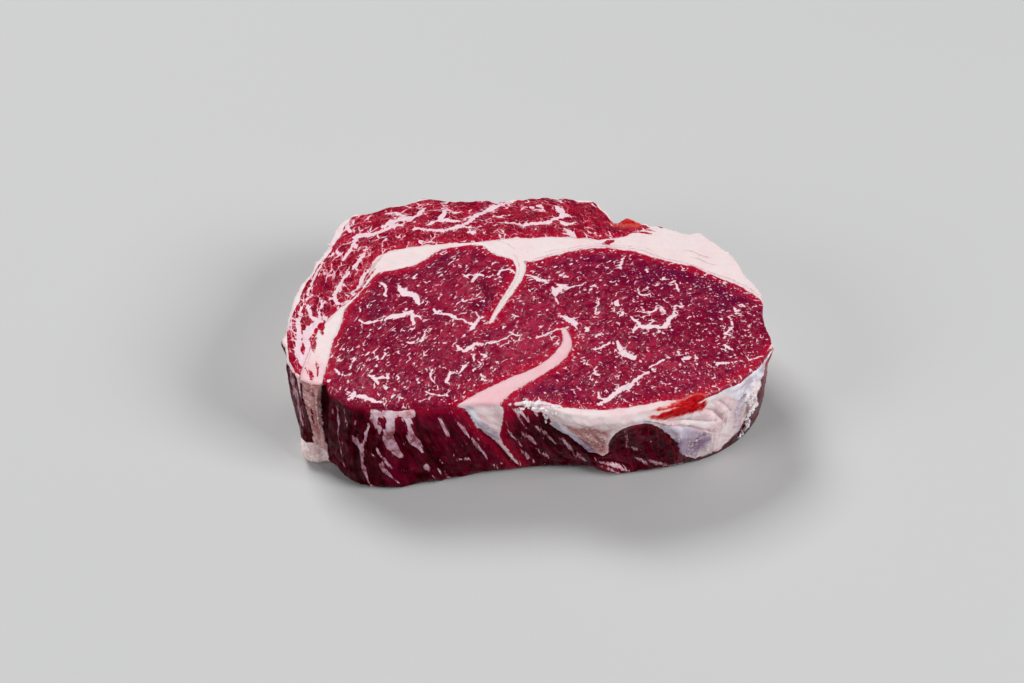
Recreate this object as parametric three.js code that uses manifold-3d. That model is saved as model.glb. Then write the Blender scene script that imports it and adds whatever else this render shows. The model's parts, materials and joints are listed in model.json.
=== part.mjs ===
// A raw ribeye steak: one thick cut across the loin. Its tissues run from the upper cut face to the lower
// one, so each is a solid of its own: the eye muscle, the cap muscle round its back and left, the seam fat
// between them that widens into the back fat, the blade of fat that enters the eye from the front, and,
// on the rib side, the fat that arches over the meat from between the ribs.
// Millimetres. +X runs along the steak, +Y to its back, +Z up. The steak lies on its lower cut face.

import * as THREE from "three";
import { mergeVertices } from "three/addons/utils/BufferGeometryUtils.js";
import Module from "manifold-3d";

// ---- Driving dimensions ------------------------------------------------------------------------------

const THICKNESS = 39; // from cut face to cut face
const RIM_ROUND = 1.8; // radius of the upper cut's edge
const FOOT_ROUND = 4.2; // radius where the side turns under
const BELLY = 1; // how far the side bulges at half height
const CROWN = 1.3; // how far the middle of the upper face stands over its rim
const RIPPLE = 0.45; // unevenness of the side and the upper face
const GAP = 0.3; // between neighbouring tissues
const SEGMENTS = 160; // steps round the outline
const WALL_STEPS = 7; // steps up the side
const ROUND_STEPS = 2; // steps in each rounded edge
const CENTRE = [4, 2]; // middle of the cut faces' rings
const UPPER_RINGS = [0.95, 0.88, 0.78, 0.67, 0.55, 0.42, 0.28, 0.14];
const LOWER_RINGS = [0.9, 0.6, 0.3];

// The upper face's outline, counterclockwise from the right tip: x, y, and how far in the foot lies there.
const OUTLINE = [
  [87, -22.5, 2.5],
  [86, -8, 1.5],
  [86.5, 3, 1.5],
  [81.5, 14, 2],
  [77.5, 25, 2],
  [70, 33.5, 2],
  [60, 37.5, 2],
  [50, 40.5, 2],
  [42, 45, 2],
  [37, 43.5, 2],
  [31.5, 53, 2],
  [20, 57, 2],
  [8, 57.5, 2],
  [-6, 55, 2],
  [-20, 55.5, 2],
  [-32, 56, 2],
  [-45, 51, 2],
  [-54, 47.5, 2],
  [-60.5, 45, 2],
  [-65.5, 30, 2.5],
  [-71, 15, 3],
  [-75, 2, 3],
  [-77, -15, 3],
  [-75.5, -28, 3],
  [-70.5, -37.5, 1.5],
  [-62.5, -42, 0.5],
  [-53, -48, -3],
  [-43, -50.8, -2.6],
  [-28, -50.5, -0.6],
  [-14, -50.5, 3],
  [-2, -50, 5.5],
  [10, -51.5, 8.5],
  [21, -55, 12],
  [32, -56, 11],
  [44, -54, 8.2],
  [56, -50, 7],
  [68, -43.5, 4.2],
  [79, -35, 2.5],
];

// Lumps on the side: where each stands, its reach along the side and up it, and how far it rises.
const LUMPS = {
  fatKnob: { at: [-69, -39, 3], reach: [5, 5], rise: 3 },
  hangingTag: { at: [37, -45, 2], reach: [7, 4], rise: 4.5 },
  ribFatEnd: { at: [83, -29, 11], reach: [7, 8], rise: 2.4 },
  ribFatLip: { at: [27, -55, 34], reach: [11, 5], rise: 1.2 },
  redLip: { at: [-54, -47.5, 37], reach: [6, 3], rise: 1 },
  backFatNibLeft: { at: [53, 40, 37], reach: [2, 4], rise: 2.4 },
  backFatNibRight: { at: [66.5, 35.5, 37], reach: [2, 4], rise: 2.4 },
  capNib: { at: [-32.5, 56, 37], reach: [2.4, 4], rise: 1.4 },
  leftNib: { at: [-77, -19, 37], reach: [2, 4], rise: 1.2 },
  rightTip: { at: [87, -22.5, 38], reach: [2.4, 5], rise: 1.2 },
};

// Hollows in the side, told as lumps that rise inwards.
const HOLLOWS = {
  seamCrevice: { at: [-62.3, -42, 30], reach: [1.6, 12], rise: -2.4 },
  bladeFold: { at: [11, -52, 24], reach: [2.2, 8], rise: -2 },
  ribMeat: { at: [44, -52, 18], reach: [10, 13], rise: -2.2 },
  ribFatTear: { at: [87, -14, 20], reach: [5, 13], rise: -2.5 },
};

// Ribbons of fat, seen from above: x, y and half the width along each centreline, how far the lower face's
// copy is shifted, and what share of the width it keeps.
const SEAM = {
  line: [
    [-68, -50, 4.5],
    [-66.5, -38, 4.2],
    [-65, -29, 3.6],
    [-63.5, -20, 3.2],
    [-61, -12, 2.4],
    [-58.3, -4, 1.9],
    [-54.2, 2, 1.5],
    [-51, 9, 1.5],
    [-48, 15.5, 2.6],
    [-42.5, 20.5, 5.4],
    [-35, 23.7, 5],
    [-27, 27.8, 2.2],
    [-18.5, 29.5, 1.2],
    [-10.5, 29.8, 1.5],
    [-3, 27.8, 4.6],
    [5, 26.6, 6.6],
    [14, 28.4, 5.4],
    [24, 29.6, 3.7],
    [33, 30.2, 2.4],
    [42, 31, 4.2],
    [50, 31.6, 7.6],
    [59, 29.2, 9.6],
    [68, 26, 10],
    [76.5, 20, 8.4],
    [84, 11.5, 5.4],
    [89, 2, 3],
    [93, -6, 1.6],
  ],
  footShift: [1, -1],
  footWidth: 1,
};
const BRANCH = {
  line: [
    [1, 24, 2.6],
    [3.2, 17, 1.8],
    [2, 10, 1.4],
    [-1, 3, 1.3],
    [-4.5, -5, 1.1],
    [-7.2, -12, 0.7],
  ],
  footShift: [2, 1],
  footWidth: 1,
};
const BLADE = {
  line: [
    [-20, -60, 5.6],
    [-10.6, -50.5, 4.7],
    [-3, -43.8, 3.3],
    [4, -38.5, 2.5],
    [11, -33.5, 2.3],
    [16.3, -28, 2.2],
    [18.8, -22, 1.7],
    [18.2, -16, 0.8],
  ],
  footShift: [12, 5],
  footWidth: 0.3,
};
const RIB_FAT = {
  line: [
    [7, -51, 2.2],
    [14, -53, 3.2],
    [22, -54.5, 3.8],
    [32, -55, 4],
    [44, -52.6, 3.8],
    [56, -48.4, 3.6],
    [68, -41.8, 3.6],
    [79, -33.2, 3.4],
    [87, -23, 2.8],
    [92, -14, 2.2],
  ],
  footShift: [-1, 8],
  footWidth: 1,
};
const RIB_MEAT_DEPTH = 2.6; // how far the meat between the ribs reaches past the fat's inner side
const ARCH = { x: 44, z: 12, width: 25, height: 40 }; // the fat's arch over that meat
const FAT_HEM = { from: [8, 37], to: [31, 13] }; // x and z along the lower edge of the fat's left wing

const COLOURS = {
  eye_muscle: 0x8c1f30,
  cap_muscle: 0x9c2c3b,
  seam_fat: 0xeed6c8,
  inner_seam_fat: 0xe4b9b0,
  rib_side_fat: 0xd8bfc6,
  rib_meat: 0x53101a,
};

// ---- The whole steak ---------------------------------------------------------------------------------

/** The outline as evenly stepped points: place, outward direction and how far in the foot lies. */
function rimPoints() {
  const knots = OUTLINE.map(([x, y, inset]) => new THREE.Vector3(x, y, inset));
  const curve = new THREE.CatmullRomCurve3(knots, true, "catmullrom", 0.5);
  return Array.from({ length: SEGMENTS }, (_, i) => {
    const share = i / SEGMENTS;
    const point = curve.getPoint(share);
    const along = curve.getTangent(share);
    const outward = new THREE.Vector2(along.y, -along.x).normalize();
    return { place: new THREE.Vector2(point.x, point.y), outward, inset: point.z };
  });
}

/** A gentle unevenness between about -1 and 1, the same at every call. */
function ripple(x, y, z) {
  const long = Math.sin(x / 6.1 + z / 11 + 1.3) * Math.cos(y / 7.3 - z / 9);
  const short = Math.sin(x / 3.1 - y / 3.7 + z / 5.3);
  return 0.65 * long + 0.35 * short;
}

/** How far the named lumps and hollows push the side out at a point. */
function lumpRise(x, y, z) {
  let rise = 0;
  for (const { at, reach, rise: height } of [...Object.values(LUMPS), ...Object.values(HOLLOWS)]) {
    const across = Math.hypot(x - at[0], y - at[1]) / reach[0];
    const up = (z - at[2]) / reach[1];
    rise += height * Math.exp(-across * across - up * up);
  }
  return rise;
}

/** A point on the side, or tucked in from it by some millimetres, at a height. */
function sidePoint(rim, z, tuck) {
  const down = 1 - z / THICKNESS;
  const { x, y } = rim.place;
  const bulge = BELLY * Math.sin(Math.PI * down) + RIPPLE * ripple(x, y, z) + lumpRise(x, y, z);
  const out = bulge - rim.inset * down - tuck;
  return new THREE.Vector3(x + rim.outward.x * out, y + rim.outward.y * out, z);
}

/** How far the upper face stands over its rim. */
function faceLift(x, y, spread) {
  const crown = CROWN * (1 - spread * spread);
  return crown + RIPPLE * ripple(x, y, 0) * Math.min(1, 4 * (1 - spread));
}

/** The steak's rings, from the middle of the lower face, up the side, to the middle of the upper face. */
function steakRings() {
  const rims = rimPoints();
  const rings = [];
  const edgeRing = (z, tuck) => rims.map((rim) => sidePoint(rim, z, tuck));
  const innerRing = (edge, spread, lift) =>
    edge.map((point) => {
      const x = CENTRE[0] + spread * (point.x - CENTRE[0]);
      const y = CENTRE[1] + spread * (point.y - CENTRE[1]);
      return new THREE.Vector3(x, y, point.z + lift(x, y, spread));
    });

  const lowerEdge = edgeRing(0, FOOT_ROUND);
  for (const spread of [...LOWER_RINGS].reverse()) rings.push(innerRing(lowerEdge, spread, () => 0));
  for (let i = 0; i <= ROUND_STEPS; i++) {
    const turn = (Math.PI / 2) * (i / ROUND_STEPS);
    rings.push(edgeRing(FOOT_ROUND * (1 - Math.cos(turn)), FOOT_ROUND * (1 - Math.sin(turn))));
  }
  const wallHeight = THICKNESS - FOOT_ROUND - RIM_ROUND;
  for (let i = 1; i < WALL_STEPS; i++) rings.push(edgeRing(FOOT_ROUND + (wallHeight * i) / WALL_STEPS, 0));
  for (let i = ROUND_STEPS; i >= 0; i--) {
    const turn = (Math.PI / 2) * (i / ROUND_STEPS);
    rings.push(edgeRing(THICKNESS - RIM_ROUND * (1 - Math.cos(turn)), RIM_ROUND * (1 - Math.sin(turn))));
  }
  const upperEdge = rings[rings.length - 1];
  for (const spread of UPPER_RINGS) rings.push(innerRing(upperEdge, spread, faceLift));
  return rings;
}

/** The closed skin through the steak's rings, with a pole in the middle of each face. */
function steakGeometry() {
  const rings = steakRings();
  const lowerPole = new THREE.Vector3(...CENTRE, 0);
  const upperPole = new THREE.Vector3(...CENTRE, THICKNESS + faceLift(...CENTRE, 0));
  const points = [...rings.flat(), lowerPole, upperPole];
  const lower = points.length - 2;
  const upper = points.length - 1;
  const index = [];
  for (let ring = 0; ring < rings.length; ring++) {
    for (let i = 0; i < SEGMENTS; i++) {
      const here = ring * SEGMENTS + i;
      const next = ring * SEGMENTS + ((i + 1) % SEGMENTS);
      if (ring === 0) index.push(lower, next, here);
      if (ring === rings.length - 1) index.push(here, next, upper);
      else index.push(here, next, next + SEGMENTS, here, next + SEGMENTS, here + SEGMENTS);
    }
  }
  return new THREE.BufferGeometry().setFromPoints(points).setIndex(index);
}

// ---- The tissues -------------------------------------------------------------------------------------

const wasm = await Module();
wasm.setup();

/** A closed three.js geometry as a solid. */
function solidOf(geometry) {
  const bare = geometry.clone();
  bare.deleteAttribute("normal");
  bare.deleteAttribute("uv");
  const merged = mergeVertices(bare, 1e-4);
  const vertProperties = merged.attributes.position.array;
  const triVerts = new Uint32Array(merged.index.array);
  return new wasm.Manifold(new wasm.Mesh({ numProp: 3, vertProperties, triVerts }));
}

/** A ribbon's two sides as one closed loop of points, its centreline shifted and its width scaled. */
function ribbonLoop(line, shift, widthShare, grow) {
  const knots = line.map(([x, y, half]) => new THREE.Vector3(x + shift[0], y + shift[1], half));
  const curve = new THREE.CatmullRomCurve3(knots, false, "catmullrom", 0.5);
  const steps = 2 * (line.length - 1);
  const left = [];
  const right = [];
  for (let i = 0; i <= steps; i++) {
    const point = curve.getPoint(i / steps);
    const along = curve.getTangent(i / steps);
    const across = new THREE.Vector2(-along.y, along.x).normalize();
    const half = point.z * widthShare + grow;
    left.push(new THREE.Vector2(point.x + across.x * half, point.y + across.y * half));
    right.push(new THREE.Vector2(point.x - across.x * half, point.y - across.y * half));
  }
  const tip = (end, way) => {
    const point = curve.getPoint(end);
    const along = curve.getTangent(end);
    const reach = Math.max(grow, 0.01) * way;
    const forward = new THREE.Vector2(along.x, along.y).normalize();
    return new THREE.Vector2(point.x + forward.x * reach, point.y + forward.y * reach);
  };
  return [...left.reverse(), tip(0, -1), ...right, tip(1, 1)];
}

/** The solid between a loop over the steak and its copy under the steak. */
function curtain(upperLoop, lowerLoop, upperZ, lowerZ) {
  const count = upperLoop.length;
  const points = [
    ...lowerLoop.map((p) => new THREE.Vector3(p.x, p.y, lowerZ)),
    ...upperLoop.map((p) => new THREE.Vector3(p.x, p.y, upperZ)),
  ];
  const index = [];
  for (let i = 0; i < count; i++) {
    const next = (i + 1) % count;
    index.push(i, next, next + count, i, next + count, i + count);
  }
  for (const [a, b, c] of THREE.ShapeUtils.triangulateShape(lowerLoop, [])) index.push(c, b, a);
  for (const [a, b, c] of THREE.ShapeUtils.triangulateShape(upperLoop, [])) {
    index.push(a + count, b + count, c + count);
  }
  return solidOf(new THREE.BufferGeometry().setFromPoints(points).setIndex(index));
}

/** A ribbon of fat through the whole thickness, grown on every side by some millimetres. */
function ribbon({ line, footShift, footWidth }, grow = 0) {
  const over = 4; // past each face, so that the cut goes right through
  const loopAt = (z) => {
    const down = 1 - z / THICKNESS;
    const shift = footShift.map((s) => s * down);
    return ribbonLoop(line, shift, 1 + (footWidth - 1) * down, grow);
  };
  return curtain(loopAt(THICKNESS + over), loopAt(-over), THICKNESS + over, -over);
}

/** The arch in the rib side's fat: a tunnel along Y, grown by some millimetres. */
function archTunnel(grow = 0) {
  const tunnel = new THREE.CylinderGeometry(0.5, 0.5, 60, 28);
  tunnel.scale(ARCH.width + 2 * grow, 1, ARCH.height + 2 * grow);
  tunnel.translate(ARCH.x, -60, ARCH.z);
  return solidOf(tunnel);
}

/** The space under the slanting hem of the rib side's fat, lowered by some millimetres. */
function underHem(lower = 0) {
  const [x0, z0] = FAT_HEM.from;
  const [x1, z1] = FAT_HEM.to;
  const slope = Math.atan2(z1 - z0, x1 - x0);
  const block = new THREE.BoxGeometry(60, 60, 60);
  block.translate(0, 0, -30 - lower);
  block.applyMatrix4(new THREE.Matrix4().makeRotationY(-slope));
  block.translate((x0 + x1) / 2, -60, (z0 + z1) / 2);
  return solidOf(block);
}

/** The fat along the rib side, with its arch and its hem. */
function ribFat(grow = 0) {
  return ribbon(RIB_FAT, grow).subtract(archTunnel(GAP - grow)).subtract(underHem(grow));
}

/** The meat from between the ribs, under the arch. */
function ribMeat(grow = 0) {
  return ribbon(RIB_FAT, RIB_MEAT_DEPTH + grow).intersect(archTunnel(grow));
}

/** A solid's separate bodies, the largest first. */
function bodiesOf(solid) {
  return solid.decompose().sort((a, b) => b.volume() - a.volume());
}

/** A solid as flat-shaded three.js geometry. */
function geometryOf(solid) {
  const { numProp, vertProperties, triVerts } = solid.getMesh();
  const corners = new Float32Array(triVerts.length * 3);
  triVerts.forEach((vertex, i) => {
    corners.set(vertProperties.subarray(vertex * numProp, vertex * numProp + 3), i * 3);
  });
  const geometry = new THREE.BufferGeometry();
  geometry.setAttribute("position", new THREE.BufferAttribute(corners, 3));
  geometry.computeVertexNormals();
  return geometry;
}

const steak = solidOf(steakGeometry());
const seam = (grow) => ribbon(SEAM, grow).add(ribbon(BRANCH, grow));
const muscles = [seam(GAP), ribbon(BLADE, GAP), ribFat(GAP), ribMeat(GAP)].reduce(
  (rest, fat) => rest.subtract(fat),
  steak,
);
const [eye, cap] = bodiesOf(muscles);

const tissues = {
  eye_muscle: eye,
  cap_muscle: cap,
  seam_fat: bodiesOf(steak.intersect(seam(0)))[0],
  inner_seam_fat: bodiesOf(steak.intersect(ribbon(BLADE)))[0],
  rib_side_fat: bodiesOf(steak.intersect(ribFat()))[0],
  rib_meat: bodiesOf(steak.intersect(ribMeat()))[0],
};

// ---- The group, with its origin under the middle of the steak ----------------------------------------

const bounds = new THREE.Box3();
const ribeye = new THREE.Group();
for (const [name, solid] of Object.entries(tissues)) {
  const finish = { color: COLOURS[name], roughness: name.endsWith("fat") ? 0.5 : 0.38, metalness: 0 };
  const mesh = new THREE.Mesh(geometryOf(solid), new THREE.MeshStandardMaterial(finish));
  mesh.name = name;
  bounds.expandByObject(mesh);
  ribeye.add(mesh);
}
const middle = bounds.getCenter(new THREE.Vector3());
ribeye.position.set(-middle.x, -middle.y, -bounds.min.z);

export default ribeye;
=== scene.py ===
"""A raw ribeye steak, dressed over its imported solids.

The steak is made once more as one fine skin, from the same named sizes as the solids. The skin gets its
relief, is cut into the same tissues, and each tissue carries its marbling, tone and moisture. Sizes are
millimetres in the outline's own coordinates until a mesh is finished, and metres in the frame after that.
"""

import itertools
import json
import logging
import math
from dataclasses import dataclass, field
from enum import Enum
from functools import cached_property, reduce
from typing import Iterable, Sequence

import bpy
import numpy as np
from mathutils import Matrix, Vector, geometry

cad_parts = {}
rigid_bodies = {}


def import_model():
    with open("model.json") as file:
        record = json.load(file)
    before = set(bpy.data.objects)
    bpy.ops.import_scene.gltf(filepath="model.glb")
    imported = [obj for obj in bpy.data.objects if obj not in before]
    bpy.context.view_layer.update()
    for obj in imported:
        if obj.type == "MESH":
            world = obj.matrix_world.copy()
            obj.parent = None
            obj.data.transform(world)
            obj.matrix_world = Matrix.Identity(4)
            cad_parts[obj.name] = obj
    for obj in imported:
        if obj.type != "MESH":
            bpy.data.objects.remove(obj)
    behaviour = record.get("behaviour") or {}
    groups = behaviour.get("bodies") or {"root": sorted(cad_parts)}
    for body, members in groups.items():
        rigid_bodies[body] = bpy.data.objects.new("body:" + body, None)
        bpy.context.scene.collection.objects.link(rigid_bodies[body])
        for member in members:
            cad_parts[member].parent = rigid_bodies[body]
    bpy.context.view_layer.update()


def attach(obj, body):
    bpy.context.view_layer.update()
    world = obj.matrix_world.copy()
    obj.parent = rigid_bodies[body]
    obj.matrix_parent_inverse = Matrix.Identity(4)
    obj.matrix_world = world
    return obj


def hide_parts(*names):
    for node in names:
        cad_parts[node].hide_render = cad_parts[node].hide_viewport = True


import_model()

logging.basicConfig(level=logging.INFO, format="%(name)s: %(message)s")
log = logging.getLogger("ribeye")

Array = np.ndarray
Piece = bpy.types.Object

MM = 0.001  # metres in a millimetre
MIDDLE = (5.1837616, 0.7901821, 0)  # the middle of the steak's foot, in the outline's coordinates
SEED = 41
FAR = 1e6  # a place that no line or outline comes near
EVERYWHERE = 1e9  # a reach that takes in every place


def tenths(width: int, *lists: tuple[float, ...]) -> tuple[Array, ...]:
    """Each list of tenths of a millimetre as a table in millimetres, with rows of some width."""
    return tuple(np.reshape(numbers, (-1, width)) / 10 for numbers in lists)


# ---- The steak's driving dimensions, as in the solids

THICKNESS = 39.0  # from cut face to cut face
RIM_ROUND = 1.8  # radius of the upper cut's edge
FOOT_ROUND = 4.2  # radius where the side turns under
BELLY = 1.0  # how far the side bulges at half height
CROWN = 1.3  # how far the middle of the upper face stands over its rim
RIPPLE = 0.45  # unevenness of the side and the upper face
CENTRE = (4.0, 2.0)  # middle of the cut faces
RIM_BAND = (THICKNESS - 2.4, THICKNESS - 0.6)  # where the side turns into the upper face

# The upper face's outline, counterclockwise from the right tip: x, y, and how far in the foot lies there.
OUTLINE = tenths(3, (
    870, -225, 25, 860, -80, 15, 865, 30, 15, 815, 140, 20, 775, 250, 20, 700, 335, 20, 600, 375, 20, 500,
    405, 20, 420, 450, 20, 370, 435, 20, 315, 530, 20, 200, 570, 20, 80, 575, 20, -60, 550, 20, -200, 555,
    20, -320, 560, 20, -450, 510, 20, -540, 475, 20, -605, 450, 20, -655, 300, 25, -710, 150, 30, -750, 20,
    30, -770, -150, 30, -755, -280, 30, -705, -375, 15, -625, -420, 5, -530, -480, -30, -430, -508, -26,
    -280, -505, -6, -140, -505, 30, -20, -500, 55, 100, -515, 85, 210, -550, 120, 320, -560, 110, 440, -540,
    82, 560, -500, 70, 680, -435, 42, 790, -350, 25,
))[0]


@dataclass(frozen=True)
class Lump:
    """A rise of the side, or a hollow in it: its place, its reach along the side and up it, its height."""

    x: float
    y: float
    z: float
    along: float
    up: float
    rise: float


LUMPS = {
    "fat_knob": Lump(-69, -39, 3, 5, 5, 3),
    "hanging_tag": Lump(37, -45, 2, 7, 4, 4.5),
    "rib_fat_end": Lump(83, -29, 11, 7, 8, 2.4),
    "rib_fat_lip": Lump(27, -55, 34, 11, 5, 1.2),
    "red_lip": Lump(-54, -47.5, 37, 6, 3, 1),
    "back_fat_nib_left": Lump(53, 40, 37, 2, 4, 2.4),
    "back_fat_nib_right": Lump(66.5, 35.5, 37, 2, 4, 2.4),
    "cap_nib": Lump(-32.5, 56, 37, 2.4, 4, 1.4),
    "left_nib": Lump(-77, -19, 37, 2, 4, 1.2),
    "right_tip": Lump(87, -22.5, 38, 2.4, 5, 1.2),
    "seam_crevice": Lump(-62.3, -42, 30, 1.6, 12, -2.4),
    "blade_fold": Lump(11, -52, 24, 2.2, 8, -2),
    "rib_meat": Lump(44, -52, 18, 10, 13, -2.2),
    "rib_fat_tear": Lump(87, -14, 20, 5, 13, -2.5),
}

# ---- Curves, distances and noise

# Large numbers that scramble a noise cell's counts and its seed.
CELL_PRIMES = (73856093, 19349663, 83492791)
SEED_PRIME = 2654435761
MIX_PRIME = 1274126177
MIX_RANGE = 0x7FFFFFFF
NOISE_RANGE = 0xFFFF  # the largest scrambled value
FIRST_CELL = 1000.0  # keeps every cell's counts positive


def curve_points(
    knots: Sequence[Sequence[float]], shares: Array, closed: bool = False
) -> tuple[Array, Array]:
    """Walks a smooth curve through its knots.

    Args:
        knots: the points that the curve passes through, each of any number of values.
        shares: places along the curve, from 0 to 1.
        closed: whether the curve runs back to its first knot.

    Returns:
        The points, and the curve's direction at each.
    """
    table = np.array(knots, float)
    spans = len(knots) - (not closed)
    if closed:
        table = np.vstack([table[-1:], table, table[:2]])
    else:
        table = np.vstack([2 * table[:1] - table[1:2], table, 2 * table[-1:] - table[-2:-1]])
    place = np.clip(shares, 0, 1) * spans
    first = np.minimum(place.astype(int), spans - 1)
    t = (place - first)[:, None]
    before, start, end, after = (table[first + k] for k in range(4))
    leave, arrive = (end - before) / 2, (after - start) / 2
    square = 3 * (end - start) - 2 * leave - arrive
    cube = 2 * (start - end) + leave + arrive
    return start + t * (leave + t * (square + t * cube)), leave + t * (2 * square + 3 * t * cube)


def outline_steps(count: int) -> tuple[Array, Array]:
    """Even steps round the outline, and its direction at each."""
    return curve_points(OUTLINE, np.arange(count) / count, True)


def walk(line: Array, steps: int) -> tuple[Array, Array]:
    """A smooth curve with some steps from each knot to the next, and its direction at each."""
    return curve_points(line, np.linspace(0, 1, steps * (len(line) - 1) + 1))


def smooth(low: float, high: float, value: Array) -> Array:
    """A soft step from 0 at low to 1 at high."""
    t = np.clip((value - low) / (high - low), 0, 1)
    return t * t * (3 - 2 * t)


def bell(*offsets: Array) -> Array:
    """1 where every offset is 0, and softly down to 0 away from there."""
    return np.exp(-sum(offset**2 for offset in offsets))


def spots(x: Array, y: Array, *places: tuple[float, ...]) -> Array:
    """A sum of soft spots: the middle, the reach each way and the strength of each."""
    return sum(strength * bell((x - cx) / rx, (y - cy) / ry) for cx, cy, rx, ry, strength in places)


def soft_noise(points: Array, cell: float, seed: int = 0) -> Array:
    """Smooth random values between -1 and 1, the same at every call.

    Args:
        points: places, one row each, with two or three values.
        cell: the size of the noise's cells, in the unit of the points.
        seed: which of many patterns to use.

    Returns:
        One value for each place.
    """
    scaled = points / cell + FIRST_CELL
    base = np.floor(scaled).astype(np.int64)
    part = scaled - base
    part = part * part * (3 - 2 * part)
    total = np.zeros(len(points))
    primes = np.array(CELL_PRIMES)[: points.shape[1]]
    for corner in itertools.product((0, 1), repeat=points.shape[1]):
        shift = np.array(corner)
        mixed = ((base + shift) * primes).sum(1) + (seed + SEED) * SEED_PRIME
        mixed = (mixed ^ (mixed >> 13)) * MIX_PRIME & MIX_RANGE
        mixed = (mixed ^ (mixed >> 16)) & NOISE_RANGE
        weight = np.where(shift == 1, part, 1 - part).prod(1)
        total += weight * (mixed / (NOISE_RANGE / 2) - 1)
    return total


def layered_noise(points: Array, cell: float, layers: int, seed: int = 0) -> Array:
    """Soft noise with finer layers, each of half the size and half the strength."""
    total = sum(soft_noise(points, cell / 2**k, seed + 7 * k) / 2**k for k in range(layers))
    return total / sum(1 / 2**k for k in range(layers))


def line_field(points: Array, line: Array, reach: float = EVERYWHERE) -> Array:
    """How deep each point lies inside a tapering line.

    Args:
        points: places in the line's own plane.
        line: rows of x, y and half width along the line.
        reach: how far from the line the answer has to be right.

    Returns:
        Millimetres inside the line's edge, and negative outside it.
    """
    depth = np.full(len(points), -reach)
    low, high = line[:, :2].min(0), line[:, :2].max(0)
    margin = line[:, 2].max() + reach
    near = np.flatnonzero(((points > low - margin) & (points < high + margin)).all(1))
    if not len(near):
        return depth
    found = np.full(len(near), -reach)
    here = points[near]
    for start, end in zip(line[:-1], line[1:]):
        along = end[:2] - start[:2]
        share = np.clip((here - start[:2]) @ along / max(along @ along, 1e-9), 0, 1)
        gap = np.linalg.norm(here - start[:2] - share[:, None] * along, axis=1)
        found = np.maximum(found, start[2] + share * (end[2] - start[2]) - gap)
    depth[near] = found
    return depth


def inside_loop(points: Array, loop: Array) -> Array:
    """Whether each point lies inside a closed loop."""
    inside = np.zeros(len(points), bool)
    for start, end in zip(loop, np.roll(loop, -1, axis=0)):
        level = np.flatnonzero((start[1] > points[:, 1]) != (end[1] > points[:, 1]))
        share = (points[level, 1] - start[1]) / (end[1] - start[1]) if len(level) else 0
        inside[level] ^= points[level, 0] < start[0] + share * (end[0] - start[0])
    return inside


def areas_field(points: Array, areas: Iterable[Array]) -> Array:
    """How deep each point lies inside the nearest of several outlines, and negative outside them all."""
    depth = np.full(len(points), -EVERYWHERE)
    for loop in areas:
        gap = -line_field(points, np.column_stack([np.vstack([loop, loop[:1]]), np.zeros(len(loop) + 1)]))
        depth = np.maximum(depth, np.where(inside_loop(points, loop), gap, -gap))
    return depth


def lines_field(points: Array, lines: Iterable[Array], reach: float = 3.0) -> Array:
    """How deep each point lies inside the nearest of several given lines, each smoothed first."""
    depth = np.full(len(points), -reach)
    for line in lines:
        depth = np.maximum(depth, line_field(points, walk(line, 4)[0], reach))
    return depth


# ---- Ribbons of fat


@dataclass(frozen=True)
class Ribbon:
    """A ribbon of fat through the thickness: x, y and half width along it, and how its foot differs."""

    line: Array
    foot_shift: tuple[float, float]
    foot_width: float = 1.0

    def walked(self, shift: float = 0.0) -> tuple[Array, Array]:
        """The ribbon, moved by a share of its foot's shift, and its direction."""
        knots = self.line.copy()
        knots[:, :2] += np.array(self.foot_shift) * shift
        return walk(knots, 5)

    def loop(self, z: float, grow: float) -> Array:
        """The ribbon's edge at a height, as one closed loop of x and y.

        Args:
            z: the height.
            grow: how much wider than the ribbon the loop is, on each side.
        """
        down = 1 - z / THICKNESS
        points, along = self.walked(down)
        along = along[:, :2] / np.linalg.norm(along[:, :2], axis=1)[:, None]
        half = points[:, 2:] * (1 + (self.foot_width - 1) * down) + grow
        across = np.stack([-along[:, 1], along[:, 0]], 1) * half
        tip = max(grow, 0.01) * along
        line = points[:, :2]
        return np.vstack([(line + across)[::-1], line[:1] - tip[:1], line - across, line[-1:] + tip[-1:]])

    def inside(self, points: Array) -> Array:
        """How deep each point lies inside the ribbon, in millimetres."""
        down = (1 - points[:, 2] / THICKNESS)[:, None]
        flat = points[:, :2] - np.array(self.foot_shift) * down
        line, _ = self.walked()
        plain = line_field(flat, line)
        thin = line_field(flat, line * np.array([1, 1, 0.5]))
        return plain + 2 * (1 - self.foot_width) * down[:, 0] * (thin - plain)


SEAM = Ribbon(
    *tenths(3, (-680, -500, 45, -665, -380, 42, -650, -290, 36, -635, -200, 32, -610, -120, 24, -583, -40,
    19, -542, 20, 15, -510, 90, 15, -480, 155, 26, -425, 205, 54, -350, 237, 50, -270, 278, 22, -185, 295,
    12, -105, 298, 15, -30, 278, 46, 50, 266, 66, 140, 284, 54, 240, 296, 37, 330, 302, 24, 420, 310, 42,
    500, 316, 76, 590, 292, 96, 680, 260, 100, 765, 200, 84, 840, 115, 54, 890, 20, 30, 930, -60, 16)),
    (1, -1),
)
BRANCH = Ribbon(
    *tenths(3, (10, 240, 26, 32, 170, 18, 20, 100, 14, -10, 30, 13, -45, -50, 11, -72, -120, 7)),
    (2, 1),
)
BLADE = Ribbon(
    *tenths(3, (-200, -600, 56, -106, -505, 47, -30, -438, 33, 40, -385, 25, 110, -335, 23, 163, -280, 22,
    188, -220, 17, 182, -160, 8)),
    (12, 5), 0.3,
)
RIB_FAT = Ribbon(
    *tenths(3, (70, -510, 22, 140, -530, 32, 220, -545, 38, 320, -550, 40, 440, -526, 38, 560, -484, 36,
    680, -418, 36, 790, -332, 34, 870, -230, 28, 920, -140, 22)),
    (-1, 8),
)
RIB_MEAT_DEPTH = 2.6  # how far the meat between the ribs reaches past the fat's inner side
ARCH_AT = (44.0, 12.0)  # x and z of the middle of the fat's arch over that meat
ARCH_SIZE = (25.0, 40.0)  # its width and height
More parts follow.
